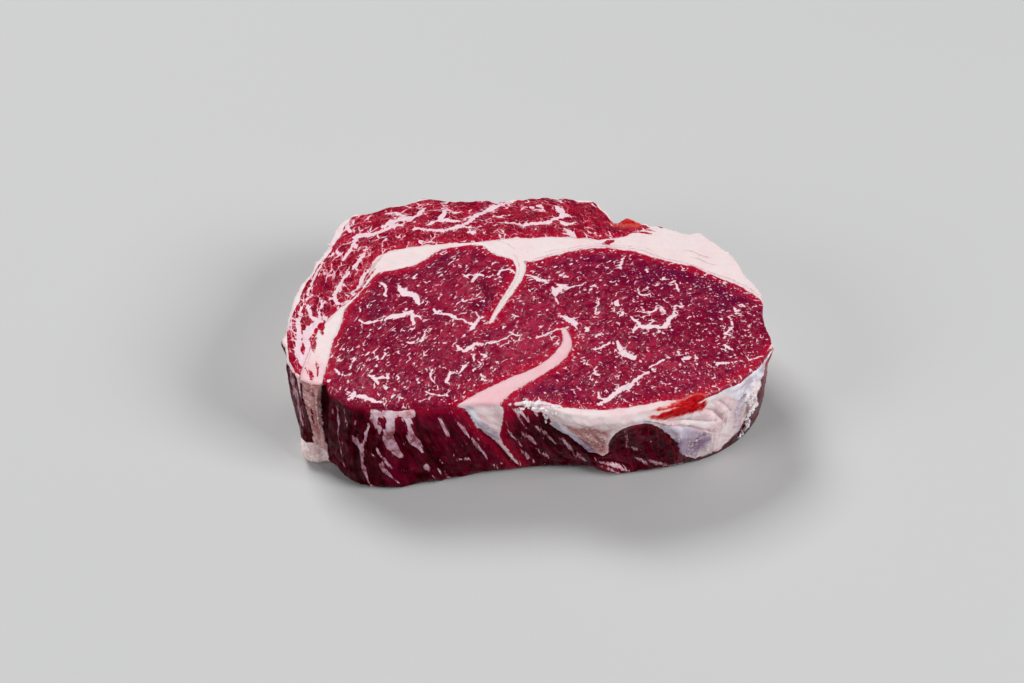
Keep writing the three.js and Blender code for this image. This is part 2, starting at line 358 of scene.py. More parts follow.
FAT_HEM = ((8.0, 37.0), (31.0, 13.0))  # x and z along the lower edge of the fat's left wing
RIB_FAT_SHY = (1.6, 4.2)  # how much narrower than its solid that fat shows on the cut face, left and right


def outside_arch(x: Array, z: Array) -> Array:
    """About how far places on the front lie outside the arch, in millimetres."""
    radii = np.hypot((x - ARCH_AT[0]) / (ARCH_SIZE[0] / 2), (z - ARCH_AT[1]) / (ARCH_SIZE[1] / 2))
    return (radii - 1) * min(ARCH_SIZE) / 2


def hem_run() -> Array:
    """The direction of the hem of the rib side's fat, in x and z."""
    run = np.subtract(FAT_HEM[1], FAT_HEM[0])
    return run / math.hypot(*run)


def rib_fat_depth(points: Array) -> Array:
    """How deep each point lies inside the rib side's fat, in millimetres."""
    x, _, z = points.T
    along = hem_run()
    above_hem = (z - FAT_HEM[0][1]) * along[0] - (x - FAT_HEM[0][0]) * along[1]
    return np.minimum.reduce([RIB_FAT.inside(points), outside_arch(x, z), above_hem])


def seam_depth(points: Array) -> Array:
    """Millimetres inside the layers of fat as they show, with wandering edges."""
    x, y, z = points.T
    above = smooth(*RIM_BAND, z)
    left, right = RIB_FAT_SHY
    shy = left + (right - left) * smooth(48, 62, x) * smooth(90, 82, x)
    neck = 0.9 * smooth(-10, -4, y) * smooth(17, 13, y) * smooth(-40, -46, x)
    seam = SEAM.inside(points)
    rib_fat = rib_fat_depth(points) - shy * above
    layers = [seam - neck * above, BRANCH.inside(points), BLADE.inside(points), rib_fat]
    wander = 0.9 * layered_noise(points[:, :2], 8, 2, 61) * smooth(0, 3, seam + 3)
    return np.maximum.reduce(layers) + wander


def outer_side(points: Array) -> Array:
    """1 on the cap's side of the seam and 0 on the eye's."""
    to_middle = np.array([*CENTRE, 0]) - points * np.array([1, 1, 0])
    step = 0.5 * to_middle / np.maximum(np.linalg.norm(to_middle, axis=1), 1e-6)[:, None]
    return (SEAM.inside(points + step) > SEAM.inside(points)).astype(float)


def front_place(points: Array) -> Array:
    """Where each point of the side lies on the unrolled front: the outline's x and the height."""
    rim, _ = outline_steps(900)
    front = rim[rim[:, 1] < 0]
    found = np.empty(len(points))
    batch = 20000  # points at a time, which keeps the memory small
    for start in range(0, len(points), batch):
        here = points[start : start + batch, None, :2]
        found[start : start + batch] = front[((here - front[None, :, :2]) ** 2).sum(2).argmin(1), 0]
    tip = OUTLINE[0, 1]  # past it the front goes on round the right end
    found += np.where(points[:, 0] > 80, np.maximum(0, points[:, 1] - tip), 0)
    return np.column_stack([found, points[:, 2]])


# ---- The skin


@dataclass
class Skin:
    """The whole steak as one fine closed mesh, with its relief."""

    around: int = 900  # steps round the outline
    wall_step: float = 0.55  # spacing up the side
    top_step: float = 0.45  # spacing over the upper face
    foot_step: float = 1.3  # spacing over the lower face
    rim_share: float = 0.6  # how round the upper edge is, as a share of the solids'
    points: Array = field(default_factory=lambda: np.zeros((0, 3)))
    faces: Array = field(default_factory=lambda: np.zeros((0, 3), int))

    def rim(self) -> tuple[Array, Array, Array]:
        """The outline's places, outward directions and foot insets."""
        points, along = outline_steps(self.around)
        outward = np.stack([along[:, 1], -along[:, 0]], 1)
        return points[:, :2], outward / np.linalg.norm(outward, axis=1)[:, None], points[:, 2]

    @staticmethod
    def eased(directions: Array, spread: int = 9) -> Array:
        """The directions averaged with their neighbours', so that a ring drawn in doesn't cross itself."""
        steps = np.arange(-3 * spread, 3 * spread + 1)
        weights = np.exp(-((steps / spread) ** 2) / 2)
        total = sum(weight * np.roll(directions, step, axis=0) for step, weight in zip(steps, weights))
        return total / np.linalg.norm(total, axis=1)[:, None]

    @staticmethod
    def ripple(points: Array) -> Array:
        """The gentle unevenness that the solids have too."""
        x, y, z = points.T
        long = np.sin(x / 6.1 + z / 11 + 1.3) * np.cos(y / 7.3 - z / 9)
        return 0.65 * long + 0.35 * np.sin(x / 3.1 - y / 3.7 + z / 5.3)

    def side_ring(self, z: float, tuck: float) -> Array:
        """One ring of the side at a height, tucked in by some millimetres."""
        place, outward, inset = self.rim()
        inward = -self.eased(outward)
        down = 1 - z / THICKNESS
        level = np.column_stack([place, np.full(self.around, z)])
        bulge = BELLY * math.sin(math.pi * down) + RIPPLE * self.ripple(level)
        for lump in LUMPS.values():
            across = np.linalg.norm(place - np.array([lump.x, lump.y]), axis=1) / lump.along
            up = (z - lump.z) / lump.up
            bulge = bulge + lump.rise * np.exp(-across * across - up * up)
        level[:, :2] += outward * bulge[:, None] + inward * (inset * down + tuck)[:, None]
        return level

    def profile(self) -> list[tuple[float, float]]:
        """Height and tuck of each ring, from the lower face's edge up to the upper face's."""
        crisp = self.rim_share * RIM_ROUND
        wall = THICKNESS - FOOT_ROUND - crisp
        foot_steps, rim_steps = (math.ceil(r * math.pi / 2 / self.wall_step) for r in (FOOT_ROUND, RIM_ROUND))
        wall_steps = math.ceil(wall / self.wall_step)

        def round_off(radius: float, turn: float) -> tuple[float, float]:
            """How far in from both faces of a rounded edge a turn along it lies."""
            return radius * (1 - math.cos(turn)), radius * (1 - math.sin(turn))

        rings = [round_off(FOOT_ROUND, math.pi / 2 * i / foot_steps) for i in range(foot_steps + 1)]
        rings += [(FOOT_ROUND + wall * i / wall_steps, 0.0) for i in range(1, wall_steps)]
        upper = [round_off(crisp, math.pi / 2 * i / rim_steps) for i in range(rim_steps, -1, -1)]
        return rings + [(THICKNESS - down, tuck) for down, tuck in upper]

    def face_lift(self, flat: Array, edge: Array) -> Array:
        """How far the upper face stands over its rim at each place."""
        middle = np.array(CENTRE)
        edge_turn = np.arctan2(*(edge - middle).T[::-1])
        order = np.argsort(edge_turn)
        radius = np.linalg.norm(edge - middle, axis=1)
        turn = np.arctan2(*(flat - middle).T[::-1])
        reach = np.interp(turn, edge_turn[order], radius[order], period=2 * math.pi)
        spread = np.clip(np.linalg.norm(flat - middle, axis=1) / reach, 0, 1)
        level = np.column_stack([flat, np.zeros(len(flat))])
        return CROWN * (1 - spread**2) + RIPPLE * self.ripple(level) * np.minimum(1, 4 * (1 - spread))

    @staticmethod
    def cap_mesh(edge: Array, step: float) -> tuple[Array, Array]:
        """Fills a closed loop with even triangles.

        Args:
            edge: the loop's points, counterclockwise.
            step: the spacing of the points inside.

        Returns:
            The points added inside, and the triangles, which count the loop's points first.
        """
        low, high = edge.min(0), edge.max(0)
        rows = []
        for row, y in enumerate(np.arange(low[1], high[1], step * math.sqrt(3) / 2)):
            x = np.arange(low[0] + (row % 2) * step / 2, high[0], step)
            rows.append(np.column_stack([x, np.full(len(x), y)]))
        grid = np.vstack(rows)
        near = np.zeros(len(grid), bool)
        clearance = 0.6 * step  # between the edge and the points inside
        for corner in edge:
            near |= ((grid - corner) ** 2).sum(1) < clearance**2
        inner = grid[inside_loop(grid, edge) & ~near]
        count = len(edge)
        points = [Vector(p) for p in np.vstack([edge, inner])]
        loop = [(i, (i + 1) % count) for i in range(count)]
        inside_only, closeness = 1, 1e-7
        found = geometry.delaunay_2d_cdt(points, loop, [], inside_only, closeness)
        return inner, np.array(found[2], int)

    def build(self) -> None:
        """Makes the points and faces of the closed skin, then gives it its relief."""
        rings = [self.side_ring(z, tuck) for z, tuck in self.profile()]
        last = (len(rings) - 1) * self.around
        first = np.arange(self.around)
        second = np.roll(first, -1)
        faces = []
        for low in range(0, last, self.around):
            high = low + self.around
            faces.append(np.column_stack([first + low, second + low, second + high]))
            faces.append(np.column_stack([first + low, second + high, first + high]))
        upper_edge = rings[-1][:, :2]
        inner, upper = self.cap_mesh(upper_edge, self.top_step)
        foot, lower = self.cap_mesh(rings[0][:, :2], self.foot_step)
        faces.append(upper + last)
        lower = np.where(lower < self.around, lower, lower + last + len(inner))
        faces.append(lower[:, ::-1])
        top = np.column_stack([inner, THICKNESS + self.face_lift(inner, upper_edge)])
        self.points = np.vstack([*rings, top, np.column_stack([foot, np.zeros(len(foot))])])
        self.faces = np.vstack(faces)
        self.points = self.points + self.normals() * Relief().height(self.points)[:, None]

    def normals(self) -> Array:
        """The outward direction at each point."""
        corners = self.points[self.faces]
        cross = np.cross(corners[:, 1] - corners[:, 0], corners[:, 2] - corners[:, 0])
        total = np.zeros_like(self.points)
        for corner in range(3):
            np.add.at(total, self.faces[:, corner], cross)
        return total / np.maximum(np.linalg.norm(total, axis=1), 1e-12)[:, None]


FAT_EDGE = (-0.4, 0.6)  # depths in the fat between which the lean's relief turns into the fat's
FRONT_BAND = (-18, -24)  # y between which the front's own relief comes in


@dataclass(frozen=True)
class Relief:
    """The fine form of the surface: how far each point stands over the plain skin, in millimetres."""

    fat_rise: float = 0.16  # of the fat over the lean on the cut face
    groove: float = 0.3  # along the membranes
    fibre: float = 0.22  # of the lean's grain on the cut face
    lumps: float = 0.8  # of the cap's coarse bundles on the cut face
    bundle: float = 0.85  # of the bundles of fibres on the side
    crumble: float = 0.5  # of the torn upper rim
    lip: float = 1.0  # of the fat's thick edges on the front
    fold: float = 0.75  # of the folds in that fat
    tear: float = 1.1  # of its torn right end
    knob: float = 1.5  # of the fat knob at the left
    crease: float = 0.75  # along the creases of the front

    def cut_face(self, points: Array, depth: Array) -> Array:
        """The relief of the upper face."""
        fat = smooth(*FAT_EDGE, depth)
        height = self.fat_rise * fat - self.groove * np.exp(-((depth / 0.45) ** 2))
        height = height + self.fibre * layered_noise(points[:, :2], 2.2, 3, 3) * (1 - 0.6 * fat)
        cap = Grain.around(points[:, :2], *Grain.CAP) * np.array([0.5, 1])
        height = height + self.lumps * layered_noise(cap, 2.4, 2, 7) * (1 - fat) * outer_side(points)
        return height + 0.2 * layered_noise(points[:, :2], 9, 2, 5)

    def wall(self, points: Array, depth: Array) -> Array:
        """The relief of the side."""
        fat = smooth(*FAT_EDGE, depth)
        place = np.column_stack([Grain.sheared(points), points[:, 2] / 7])
        height = self.bundle * layered_noise(place, 4.2, 3, 9) * (1 - 0.55 * fat)
        return height + 0.22 * layered_noise(points, 2.0, 2, 13)

    def front(self, points: Array) -> Array:
        """The lips, folds and creases of the front."""
        place = front_place(points)
        x, z = place.T
        height = self.lip * (bell((outside_arch(x, z) - 1.4) / 1.5) + 0.8 * bell((z - 36.6) / 1.8))
        slant = np.column_stack([(x + 0.8 * z) / 13, (0.8 * x - z) / 2.6])
        height = height + self.fold * layered_noise(slant, 1.0, 3, 55)
        torn = 1.4 * bell((x - 81) / 3) + bell((x - 9) / 4, (z - 36) / 4)
        height = height + self.tear * torn * layered_noise(points, 1.6, 2, 57)
        height = height * smooth(-0.6, 0.9, areas_field(place, [RIB_SHEET]))
        knob = self.knob * bell((x + 69) / 5, (z - 4) / 5)
        height = height + knob * (layered_noise(points, 3.4, 3, 59) + 0.2)
        return height - self.crease * smooth(-0.9, 0.2, lines_field(place, FRONT_CREASES))

    def height(self, points: Array) -> Array:
        """The relief at each point."""
        y, z = points[:, 1], points[:, 2]
        side = 1 - smooth(THICKNESS - 2.2, THICKNESS - 0.2, z)
        depth = seam_depth(points)
        wall = self.wall(points, depth)
        ahead = (y < FRONT_BAND[0]) & (side > 0)
        wall[ahead] += self.front(points[ahead]) * smooth(*FRONT_BAND, y[ahead])
        rim = smooth(THICKNESS - 4.5, THICKNESS - 1.4, z) * side
        rim = rim + bell((z - THICKNESS + 0.9) / 0.9) * (1 - side)
        crumbs = layered_noise(points, 3.0, 3, 17) + 0.5 * layered_noise(points, 1.3, 2, 19)
        torn = self.crumble * rim * crumbs
        return smooth(0.0, 2.5, z) * (side * wall + (1 - side) * self.cut_face(points, depth) + torn)


class Grain:
    """The run of the fibres, as coordinates along them, across them and through the thickness."""

    EYE = ((95.0, -110.0), 125.0)  # the place that the eye's fibres curve round, and how far off
    CAP = ((-8.0, 4.0), 50.0)  # the same for the cap's
    LEAN = 0.375  # how far the front's bundles lean, as a share of height
    DEPTH_SCALE = 0.2  # how slowly the pattern changes through the thickness

    @classmethod
    def sheared(cls, points: Array) -> Array:
        """Where each point's bundle of fibres meets the upper face."""
        share = cls.LEAN * smooth(-52, -22, points[:, 0]) * smooth(20, -20, points[:, 1])
        flat = points[:, :2].copy()
        flat[:, 0] += share * (points[:, 2] - THICKNESS)
        return flat

    @classmethod
    def around(cls, flat: Array, hub: tuple[float, float], radius: float) -> Array:
        """Coordinates along circles round a hub and across them."""
        arm = flat - np.array(hub)
        return np.column_stack([np.arctan2(arm[:, 1], arm[:, 0]) * radius, np.linalg.norm(arm, axis=1)])

    @classmethod
    def of(cls, points: Array, cap: bool) -> Array:
        """The grain coordinates of each point, in millimetres."""
        flat = cls.sheared(points)
        plane = cls.around(flat, *(cls.CAP if cap else cls.EYE))
        return np.column_stack([plane, points[:, 2] * cls.DEPTH_SCALE])


# ---- Marbling, in tenths of a millimetre

# Veins on the upper face: x, y and half width.
EYE_VEINS = tenths(
    3,
    (-393, 76, 4, -386, 52, 10, -372, 30, 16, -352, 25, 14, -336, 14, 13, -328, -6, 10, -318, -30, 4),
    (-526, -95, 3, -510, -113, 5, -485, -117, 8, -460, -110, 6, -436, -106, 5, -414, -93, 10, -390, -86, 12,
    -365, -78, 9, -344, -65, 9), (-340, -76, 6, -340, -100, 6, -334, -124, 5, -346, -146, 2), (-339, -84, 5,
    -314, -90, 5), (-268, -52, 5, -260, -70, 5, -240, -78, 6, -215, -83, 7, -199, -94, 10, -184, -104, 8,
    -170, -104, 5, -154, -117, 6, -132, -130, 6, -122, -120, 6, -113, -100, 4, -124, -70, 3), (-124, -128,
    6, -136, -155, 7, -150, -169, 3), (-115, -96, 4, -94, -114, 3), (-166, 118, 4, -150, 124, 7, -128, 123,
    9, -110, 126, 6, -98, 116, 3), (-128, 120, 8, -130, 104, 7, -144, 90, 4), (-62, 103, 3, -50, 93, 4, -32,
    82, 4), (-50, 120, 4, -40, 144, 4, -16, 155, 5, 2, 146, 4), (-194, -224, 3, -180, -245, 5, -165, -260,
    9, -150, -256, 9, -135, -238, 9, -115, -233, 5, -90, -228, 4, -60, -220, 5, -40, -206, 4, -18, -194, 3,
    4, -176, 3), (-166, -260, 6, -186, -262, 3), (-140, -246, 7, -126, -262, 5, -128, -290, 4, -125, -310,
    2), (-12, -164, 3, 6, -176, 4, 32, -183, 3), (-356, -215, 3, -335, -215, 6, -320, -202, 4, -300, -192,
    4, -295, -174, 3), (-492, -282, 2, -475, -263, 3.5, -455, -255, 3), (-425, -248, 4, -425, -275, 4.5,
    -436, -296, 3), (-485, -365, 3, -465, -378, 5, -450, -395, 7, -440, -416, 3), (-450, -393, 5, -430,
    -383, 6, -410, -387, 5, -414, -368, 3), (-592, -334, 3, -575, -360, 5, -554, -370, 3), (-544, -443, 2,
    -515, -460, 7, -490, -469, 9, -468, -479, 9, -448, -490, 7, -426, -494, 3), (-260, -340, 2, -269, -365,
    4, -266, -390, 3, -254, -410, 2), (-204, -354, 3, -210, -380, 6, -219, -404, 4), (-286, -445, 2, -265,
    -457, 3.5, -240, -463, 4, -218, -462, 3), (-148, -314, 3, -163, -338, 6, -176, -362, 3), (-104, -269, 3,
    -91, -279, 7, -100, -288, 3), (-104, -365, 3, -98, -390, 5, -82, -400, 4), (-170, -3, 4, -165, -18, 5,
    -156, -5, 3), (-212, 212, 3, -194, 206, 5), (-454, 82, 8, -438, 66, 5, -436, 40, 3, -440, 26, 5, -429,
    10, 4), (50, 126, 4, 75, 115, 7, 94, 96, 8, 114, 86, 8, 126, 75, 4), (168, 122, 7, 180, 112, 5, 196,
    113, 3), (152, 82, 3, 168, 64, 11, 152, 42, 14, 148, 20, 9, 154, 0, 4, 159, -26, 3), (168, 66, 11, 190,
    56, 7, 210, 60, 3, 236, 68, 3, 256, 86, 2), (289, 66, 6, 275, 50, 4, 264, 30, 2), (400, 236, 3, 388,
    210, 5, 382, 185, 7, 378, 166, 7), (300, 0, 3, 296, -25, 4, 288, -50, 3.5, 286, -75, 3), (363, -8, 4,
    360, -25, 10, 364, -44, 5), (378, -70, 6, 380, -86, 3), (178, -92, 6, 195, -107, 13, 210, -122, 13, 215,
    -140, 9, 220, -152, 3), (204, -102, 6, 224, -90, 4, 238, -66, 2), (50, -210, 2, 80, -195, 3.5, 110,
    -180, 4, 140, -166, 4.5, 170, -156, 5, 192, -152, 4), (248, -148, 5, 258, -160, 9, 247, -170, 3), (260,
    -206, 3, 280, -200, 4, 294, -187, 6, 301, -174, 3), (276, -256, 3, 300, -243, 5, 320, -229, 5, 331,
    -212, 4), (355, -208, 4, 362, -233, 9, 370, -260, 12, 383, -280, 13, 400, -292, 11, 416, -286, 5), (406,
    -94, 4, 418, -106, 6, 430, -116, 7, 435, -132, 8, 460, -139, 9, 485, -136, 9, 505, -146, 9, 520, -139,
    10, 530, -115, 9, 540, -93, 9, 554, -80, 7, 558, -55, 5, 561, -33, 6, 580, -35, 7, 596, -49, 3), (432,
    -135, 5, 415, -150, 5, 408, -170, 2), (458, -140, 5, 464, -166, 2), (460, -130, 4, 480, -114, 3.5, 492,
    -100, 3), (444, -44, 3, 455, -64, 5, 475, -66, 6, 492, -54, 4.5, 498, -34, 3), (504, -30, 3, 516, -42,
    3.5, 520, -62, 2), (438, 51, 3, 438, 32, 4, 448, 18, 3.5, 472, 12, 3), (530, 105, 2, 550, 91, 3.5, 570,
    95, 4.5, 573, 65, 5, 582, 44, 3), (748, -100, 3, 750, -130, 4, 735, -155, 4.5, 722, -173, 7, 719, -188,
    4), (711, -218, 4, 725, -235, 7, 742, -248, 3), (674, -322, 3, 700, -313, 6, 726, -310, 4, 760, -302, 3,
    800, -293, 3, 840, -274, 3), (-12, -498, 2, 20, -496, 6, 50, -496, 10, 84, -500, 12, 120, -506, 10, 154,
    -510, 6), (280, -502, 4, 315, -478, 8, 345, -446, 10, 380, -424, 14, 405, -400, 8, 425, -378, 7, 450,
    -360, 4.5, 466, -344, 3), (282, -450, 4, 288, -474, 5, 315, -473, 3), (456, -337, 3, 480, -318, 3.5,
    506, -299, 4), (264, -400, 3, 272, -370, 4.5, 281, -350, 3), (570, -300, 4, 583, -295, 8, 598, -288, 3),
    (560, -324, 5, 572, -332, 4), (760, -30, 4, 769, -60, 6, 763, -80, 3), (790, -20, 5, 808, -40, 4),
)
CAP_VEINS = tenths(
    3,
    (-30, 422, 4, 10, 412, 6, 50, 408, 8, 100, 414, 9, 140, 428, 9, 170, 452, 10, 196, 460, 10, 214, 450,
    3), (190, 460, 10, 178, 484, 13, 166, 502, 10, 158, 512, 4), (44, 512, 3, 70, 508, 6, 98, 515, 6, 110,
    532, 3), (174, 430, 3, 185, 410, 10, 202, 405, 9, 224, 416, 4), (190, 380, 5, 204, 364, 10, 220, 344,
    10), (-200, 400, 6, -165, 415, 7, -140, 446, 9, -120, 470, 10, -90, 490, 11, -65, 512, 11, -36, 530, 11,
    2, 546, 9), (-364, 376, 6, -320, 383, 8, -280, 375, 9, -240, 378, 8, -200, 392, 7, -140, 398, 5), (-464,
    396, 8, -434, 418, 11, -405, 434, 13, -370, 440, 10, -342, 456, 9, -330, 480, 11, -318, 508, 6), (-410,
    430, 10, -392, 458, 9, -420, 472, 7, -460, 474, 4), (-300, 414, 6, -270, 438, 10, -250, 464, 11, -244,
    492, 7), (-270, 438, 10, -220, 434, 8, -186, 426, 5), (-564, 336, 8, -540, 352, 13, -500, 356, 11, -470,
    370, 9, -430, 398, 9, -394, 407, 5), (-580, 370, 7, -594, 410, 10, -600, 450, 12), (-556, 344, 9, -566,
    300, 7, -576, 260, 6, -600, 215, 5), (-518, 280, 4, -530, 220, 7, -560, 170, 6, -585, 120, 6, -600, 70,
    7, -614, 24, 9, -596, -16, 9, -556, 2, 9), (-660, 260, 5, -674, 180, 6, -694, 110, 5, -708, 30, 5, -700,
    -40, 6, -684, -85, 7, -660, -110, 8), (-616, 20, 5, -646, -10, 4, -660, -56, 5, -654, -100, 6), (-724,
    -30, 5, -730, -110, 8, -720, -180, 10, -716, -250, 10, -696, -310, 14), (-496, 170, 5, -518, 130, 7,
    -534, 70, 7, -560, 34, 6), (-300, 306, 5, -282, 326, 6, -278, 346, 3), (-650, -110, 8, -684, -140, 19,
    -698, -186, 13, -686, -230, 11, -684, -280, 13, -670, -330, 18),
)
# Streaks of fat on the front: x, height and half width.
FRONT_STREAKS = tenths(
    3,
    (-760, 300, 3, -754, 220, 6, -744, 140, 4), (-736, 370, 6, -726, 270, 8, -708, 160, 5), (-454, 380, 12,
    -448, 340, 14, -440, 300, 10, -436, 270, 3), (-404, 390, 20, -398, 340, 15, -402, 290, 15, -410, 250,
    19, -400, 220, 19, -382, 186, 11, -370, 166, 4), (-346, 390, 17, -341, 340, 13, -338, 300, 9, -334, 260,
    13, -322, 234, 15, -306, 206, 9, -298, 186, 3), (-448, 346, 7, -410, 360, 18, -370, 362, 13, -338, 358,
    18, -320, 344, 5), (-240, 386, 2, -196, 384, 5, -160, 382, 3), (-466, 330, 2, -474, 280, 4, -485, 230,
    4, -493, 170, 6, -489, 110, 4, -478, 60, 6, -466, 15, 4), (-530, 270, 2, -516, 234, 7, -500, 200, 9),
    (-576, 340, 0, -570, 280, 1.5, -572, 210, 1, -560, 140, 1.5, -554, 80, 0), (-544, 360, 0, -546, 310,
    1.5, -538, 276, 0.5, -520, 250, 1, -504, 246, 0), (-468, 206, 1.5, -446, 150, 3, -416, 94, 3.5, -382,
    44, 2), (-450, 210, 1, -426, 160, 2.5, -400, 116, 1.5), (-192, 324, 1.5, -166, 280, 4, -136, 226, 3.5,
    -100, 150, 4, -67, 80, 4, -44, 36, 2), (-236, 334, 2, -227, 300, 8, -212, 260, 11, -202, 240, 3), (-300,
    150, 3, -289, 118, 9, -280, 82, 3), (-246, 84, 3, -226, 48, 6, -212, 20, 3), (-174, 126, 3, -144, 118,
    5, -126, 96, 3), (-4, 390, 6, 10, 360, 5, 30, 310, 4, 44, 270, 2), (18, 386, 7, 38, 340, 6, 58, 300, 3),
    (46, 394, 12, 66, 366, 9, 82, 336, 4), (-16, 260, 2, 6, 210, 4, 28, 164, 3), (36, 248, 3, 54, 216, 7,
    76, 180, 4), (78, 274, 2, 100, 230, 5, 128, 186, 3), (24, 140, 3, 46, 96, 5, 64, 56, 3), (76, 146, 3,
    98, 108, 5, 110, 84, 2), (150, 224, 3, 174, 176, 5, 190, 130, 3, 200, 86, 2), (194, 144, 3, 216, 104, 7,
    234, 76, 3), (374, 300, 1, 386, 240, 3, 396, 170, 2), (412, 184, 3, 428, 160, 6, 444, 150, 3), (464,
    210, 3, 476, 198, 4), (484, 86, 5, 514, 66, 8, 546, 52, 5), (540, 46, 4, 576, 30, 6, 610, 28, 3), (436,
    104, 2, 454, 90, 6, 470, 72, 4, 486, 50, 2), (294, 92, 3, 326, 82, 7, 364, 68, 9, 396, 48, 7, 414, 30,
    3), (300, 64, 3, 336, 48, 6, 370, 28, 6, 394, 14, 3),
)
# Thin pink membranes in the fat of the upper face.
MEMBRANES = tenths(
    3,
    (-450, 250, 2, -480, 186, 3.5, -502, 130, 3.5, -524, 60, 3), (-468, 220, 1, -496, 170, 3, -516, 120, 3,
    -540, 56, 2), (4, 246, 1, 22, 200, 1.5, 24, 140, 1.5, 6, 70, 1.5, -24, 0, 1, -56, -70, 1), (10, 270, 1,
    -20, 300, 2, -60, 314, 1.5), (606, 264, 1, 640, 256, 3, 670, 236, 3, 706, 226, 1), (630, 226, 1, 660,
    216, 3, 694, 194, 2.5, 720, 190, 1),
)
# Lean or dark slits that break the fat, on the upper face and on the front.
TOP_SLITS = tenths(
    3,
    (-474, 176, 1, -500, 120, 3.5, -524, 60, 4, -558, 6, 4, -586, -36, 2), (322, 294, 3, 342, 306, 11, 364,
    318, 4), (-74, -146, 4, -70, -166, 7, -76, -184, 2), (-642, -114, 3, -646, -140, 8, -642, -174, 3),
    (-664, -190, 3, -668, -224, 9, -664, -262, 3), (-726, -190, 6, -716, -226, 8, -704, -260, 4), (-718,
    -294, 7, -698, -314, 5), (-686, -334, 3, -668, -364, 7, -660, -396, 3), (-606, -280, 1, -616, -340, 3,
    -622, -410, 5), (-654, -306, 2, -646, -340, 5, -644, -374, 2), (360, 412, 3, 386, 422, 16, 420, 424, 15,
    444, 410, 5), (420, 360, 2, 460, 368, 5, 500, 356, 3), (440, 386, 2, 480, 384, 4, 520, 368, 2),
)
FRONT_SLITS = tenths(
    3,
    (-696, 380, 3, -698, 310, 6, -688, 220, 5, -678, 130, 3), (-666, 300, 1, -668, 240, 3, -666, 180, 1),
)
# Brown-pink sinews on the front, and the creases that its relief follows.
FRONT_SINEWS = tenths(
    3,
    (430, 346, 1, 489, 310, 3.5, 540, 280, 4, 590, 248, 3.5, 652, 200, 3, 690, 166, 1), (460, 350, 1, 520,
    316, 2, 580, 288, 2.5, 640, 254, 2, 690, 224, 1), (640, 314, 1, 672, 287, 3, 716, 214, 4, 759, 146, 3.5,
    786, 106, 1), (686, 330, 1, 714, 290, 2.5, 740, 244, 2), (150, 300, 1, 210, 294, 3, 270, 260, 3, 310,
    200, 2), (180, 256, 1, 230, 226, 2.5, 274, 180, 2), (-660, 360, 1, -656, 280, 2.5, -658, 200, 2, -652,
    130, 1),
)
FRONT_CREASES = FRONT_SINEWS + tenths(
    3,
    (-630, 400, 3, -634, 300, 7, -635, 200, 7, -628, 90, 4), (-506, 270, 2, -510, 180, 5, -504, 60, 5, -486,
    10, 3), (-150, 350, 1, -94, 246, 5, -58, 196, 5, -12, 88, 4, 14, 40, 2), (84, 380, 2, 100, 334, 6, 108,
    280, 5, 160, 244, 5, 200, 206, 4, 240, 146, 4, 310, 138, 4), (-316, 340, 2, -306, 260, 5, -280, 180, 4,
    -240, 90, 3), (300, 110, 3, 360, 88, 5, 410, 60, 3),
)
# Outlines of the fat on the front: the left strip, the blade's end, and the rib side's sheet; x and height.
FRONT_FAT = tenths(
    2,
    (-725, 420, -634, 420, -639, 330, -640, 230, -637, 120, -626, 65, -624, 20, -635, -30, -760, -30, -750,
    50, -710, 85, -676, 100, -684, 180, -700, 270, -714, 350), (-170, 420, -159, 384, -139, 335, -118, 275,
    -84, 234, -54, 192, -26, 135, -6, 90, 12, 50, 20, 54, 4, 96, -14, 140, -34, 190, -42, 227, -33, 280,
    -29, 330, -26, 420), (46, 420, 950, 420, 885, 400, 856, 360, 846, 310, 844, 260, 824, 236, 816, 200,
    826, 160, 828, 94, 820, 50, 804, 20, 745, 10, 687, 22, 640, 46, 611, 72, 581, 115, 570, 170, 550, 200,
    530, 231, 510, 260, 489, 287, 460, 314, 434, 329, 403, 333, 377, 330, 358, 316, 344, 294, 330, 260, 322,
    220, 326, 180, 327, 160, 310, 146, 270, 152, 243, 156, 216, 196, 192, 230, 154, 256, 124, 268, 114, 280,
    124, 306, 112, 324, 102, 344, 84, 352, 66, 364, 50, 380),
)
RIB_SHEET = FRONT_FAT[2]
# Outlines on the front of the grey membranes, of the dry brownish fat, whose wing also stands for painted
# shade, and of the fresh blood.
FILM_AREAS = tenths(
    2,
    (665, 410, 900, 410, 855, 360, 842, 320, 844, 260, 817, 245, 790, 256, 759, 273, 735, 307, 711, 355),
    (474, 330, 520, 286, 576, 254, 630, 210, 687, 155, 716, 60, 700, 34, 632, 63, 570, 120, 555, 195, 496,
    280), (-160, 400, -130, 374, -96, 300, -52, 246, -38, 196, -84, 230, -120, 274, -144, 334), (110, 314,
    150, 316, 190, 280, 226, 224, 270, 166, 240, 154, 190, 228, 124, 266),
)
TAN_AREAS = tenths(
    2,
    (-706, 420, -632, 420, -636, 120, -626, 74, -670, 86, -684, 180, -700, 270), (140, 316, 240, 334, 326,
    306, 316, 220, 324, 154, 260, 160, 210, 230, 160, 280),
)
STAIN_AREA = tenths(
    2,
    (445, 384, 510, 410, 636, 410, 640, 350, 637, 314, 610, 324, 586, 328, 545, 329, 505, 332, 480, 344),
)
# Where that blood reaches over the rim, on the upper face: x and y.
STAIN_RIM_AREA = tenths(
    2,
    (448, -540, 512, -508, 547, -484, 585, -470, 622, -462, 644, -466, 640, -500, 560, -530, 460, -560),
)


# ---- Tissues

OFF_FACE = 4  # millimetres that take a map off the face it isn't meant for

class Tissue(Enum):
    """The steak's tissues, by the names of their solids."""

    EYE = "eye_muscle"
    CAP = "cap_muscle"
    SEAM = "seam_fat"
    BLADE = "inner_seam_fat"
    RIB_FAT = "rib_side_fat"
    RIB_MEAT = "rib_meat"


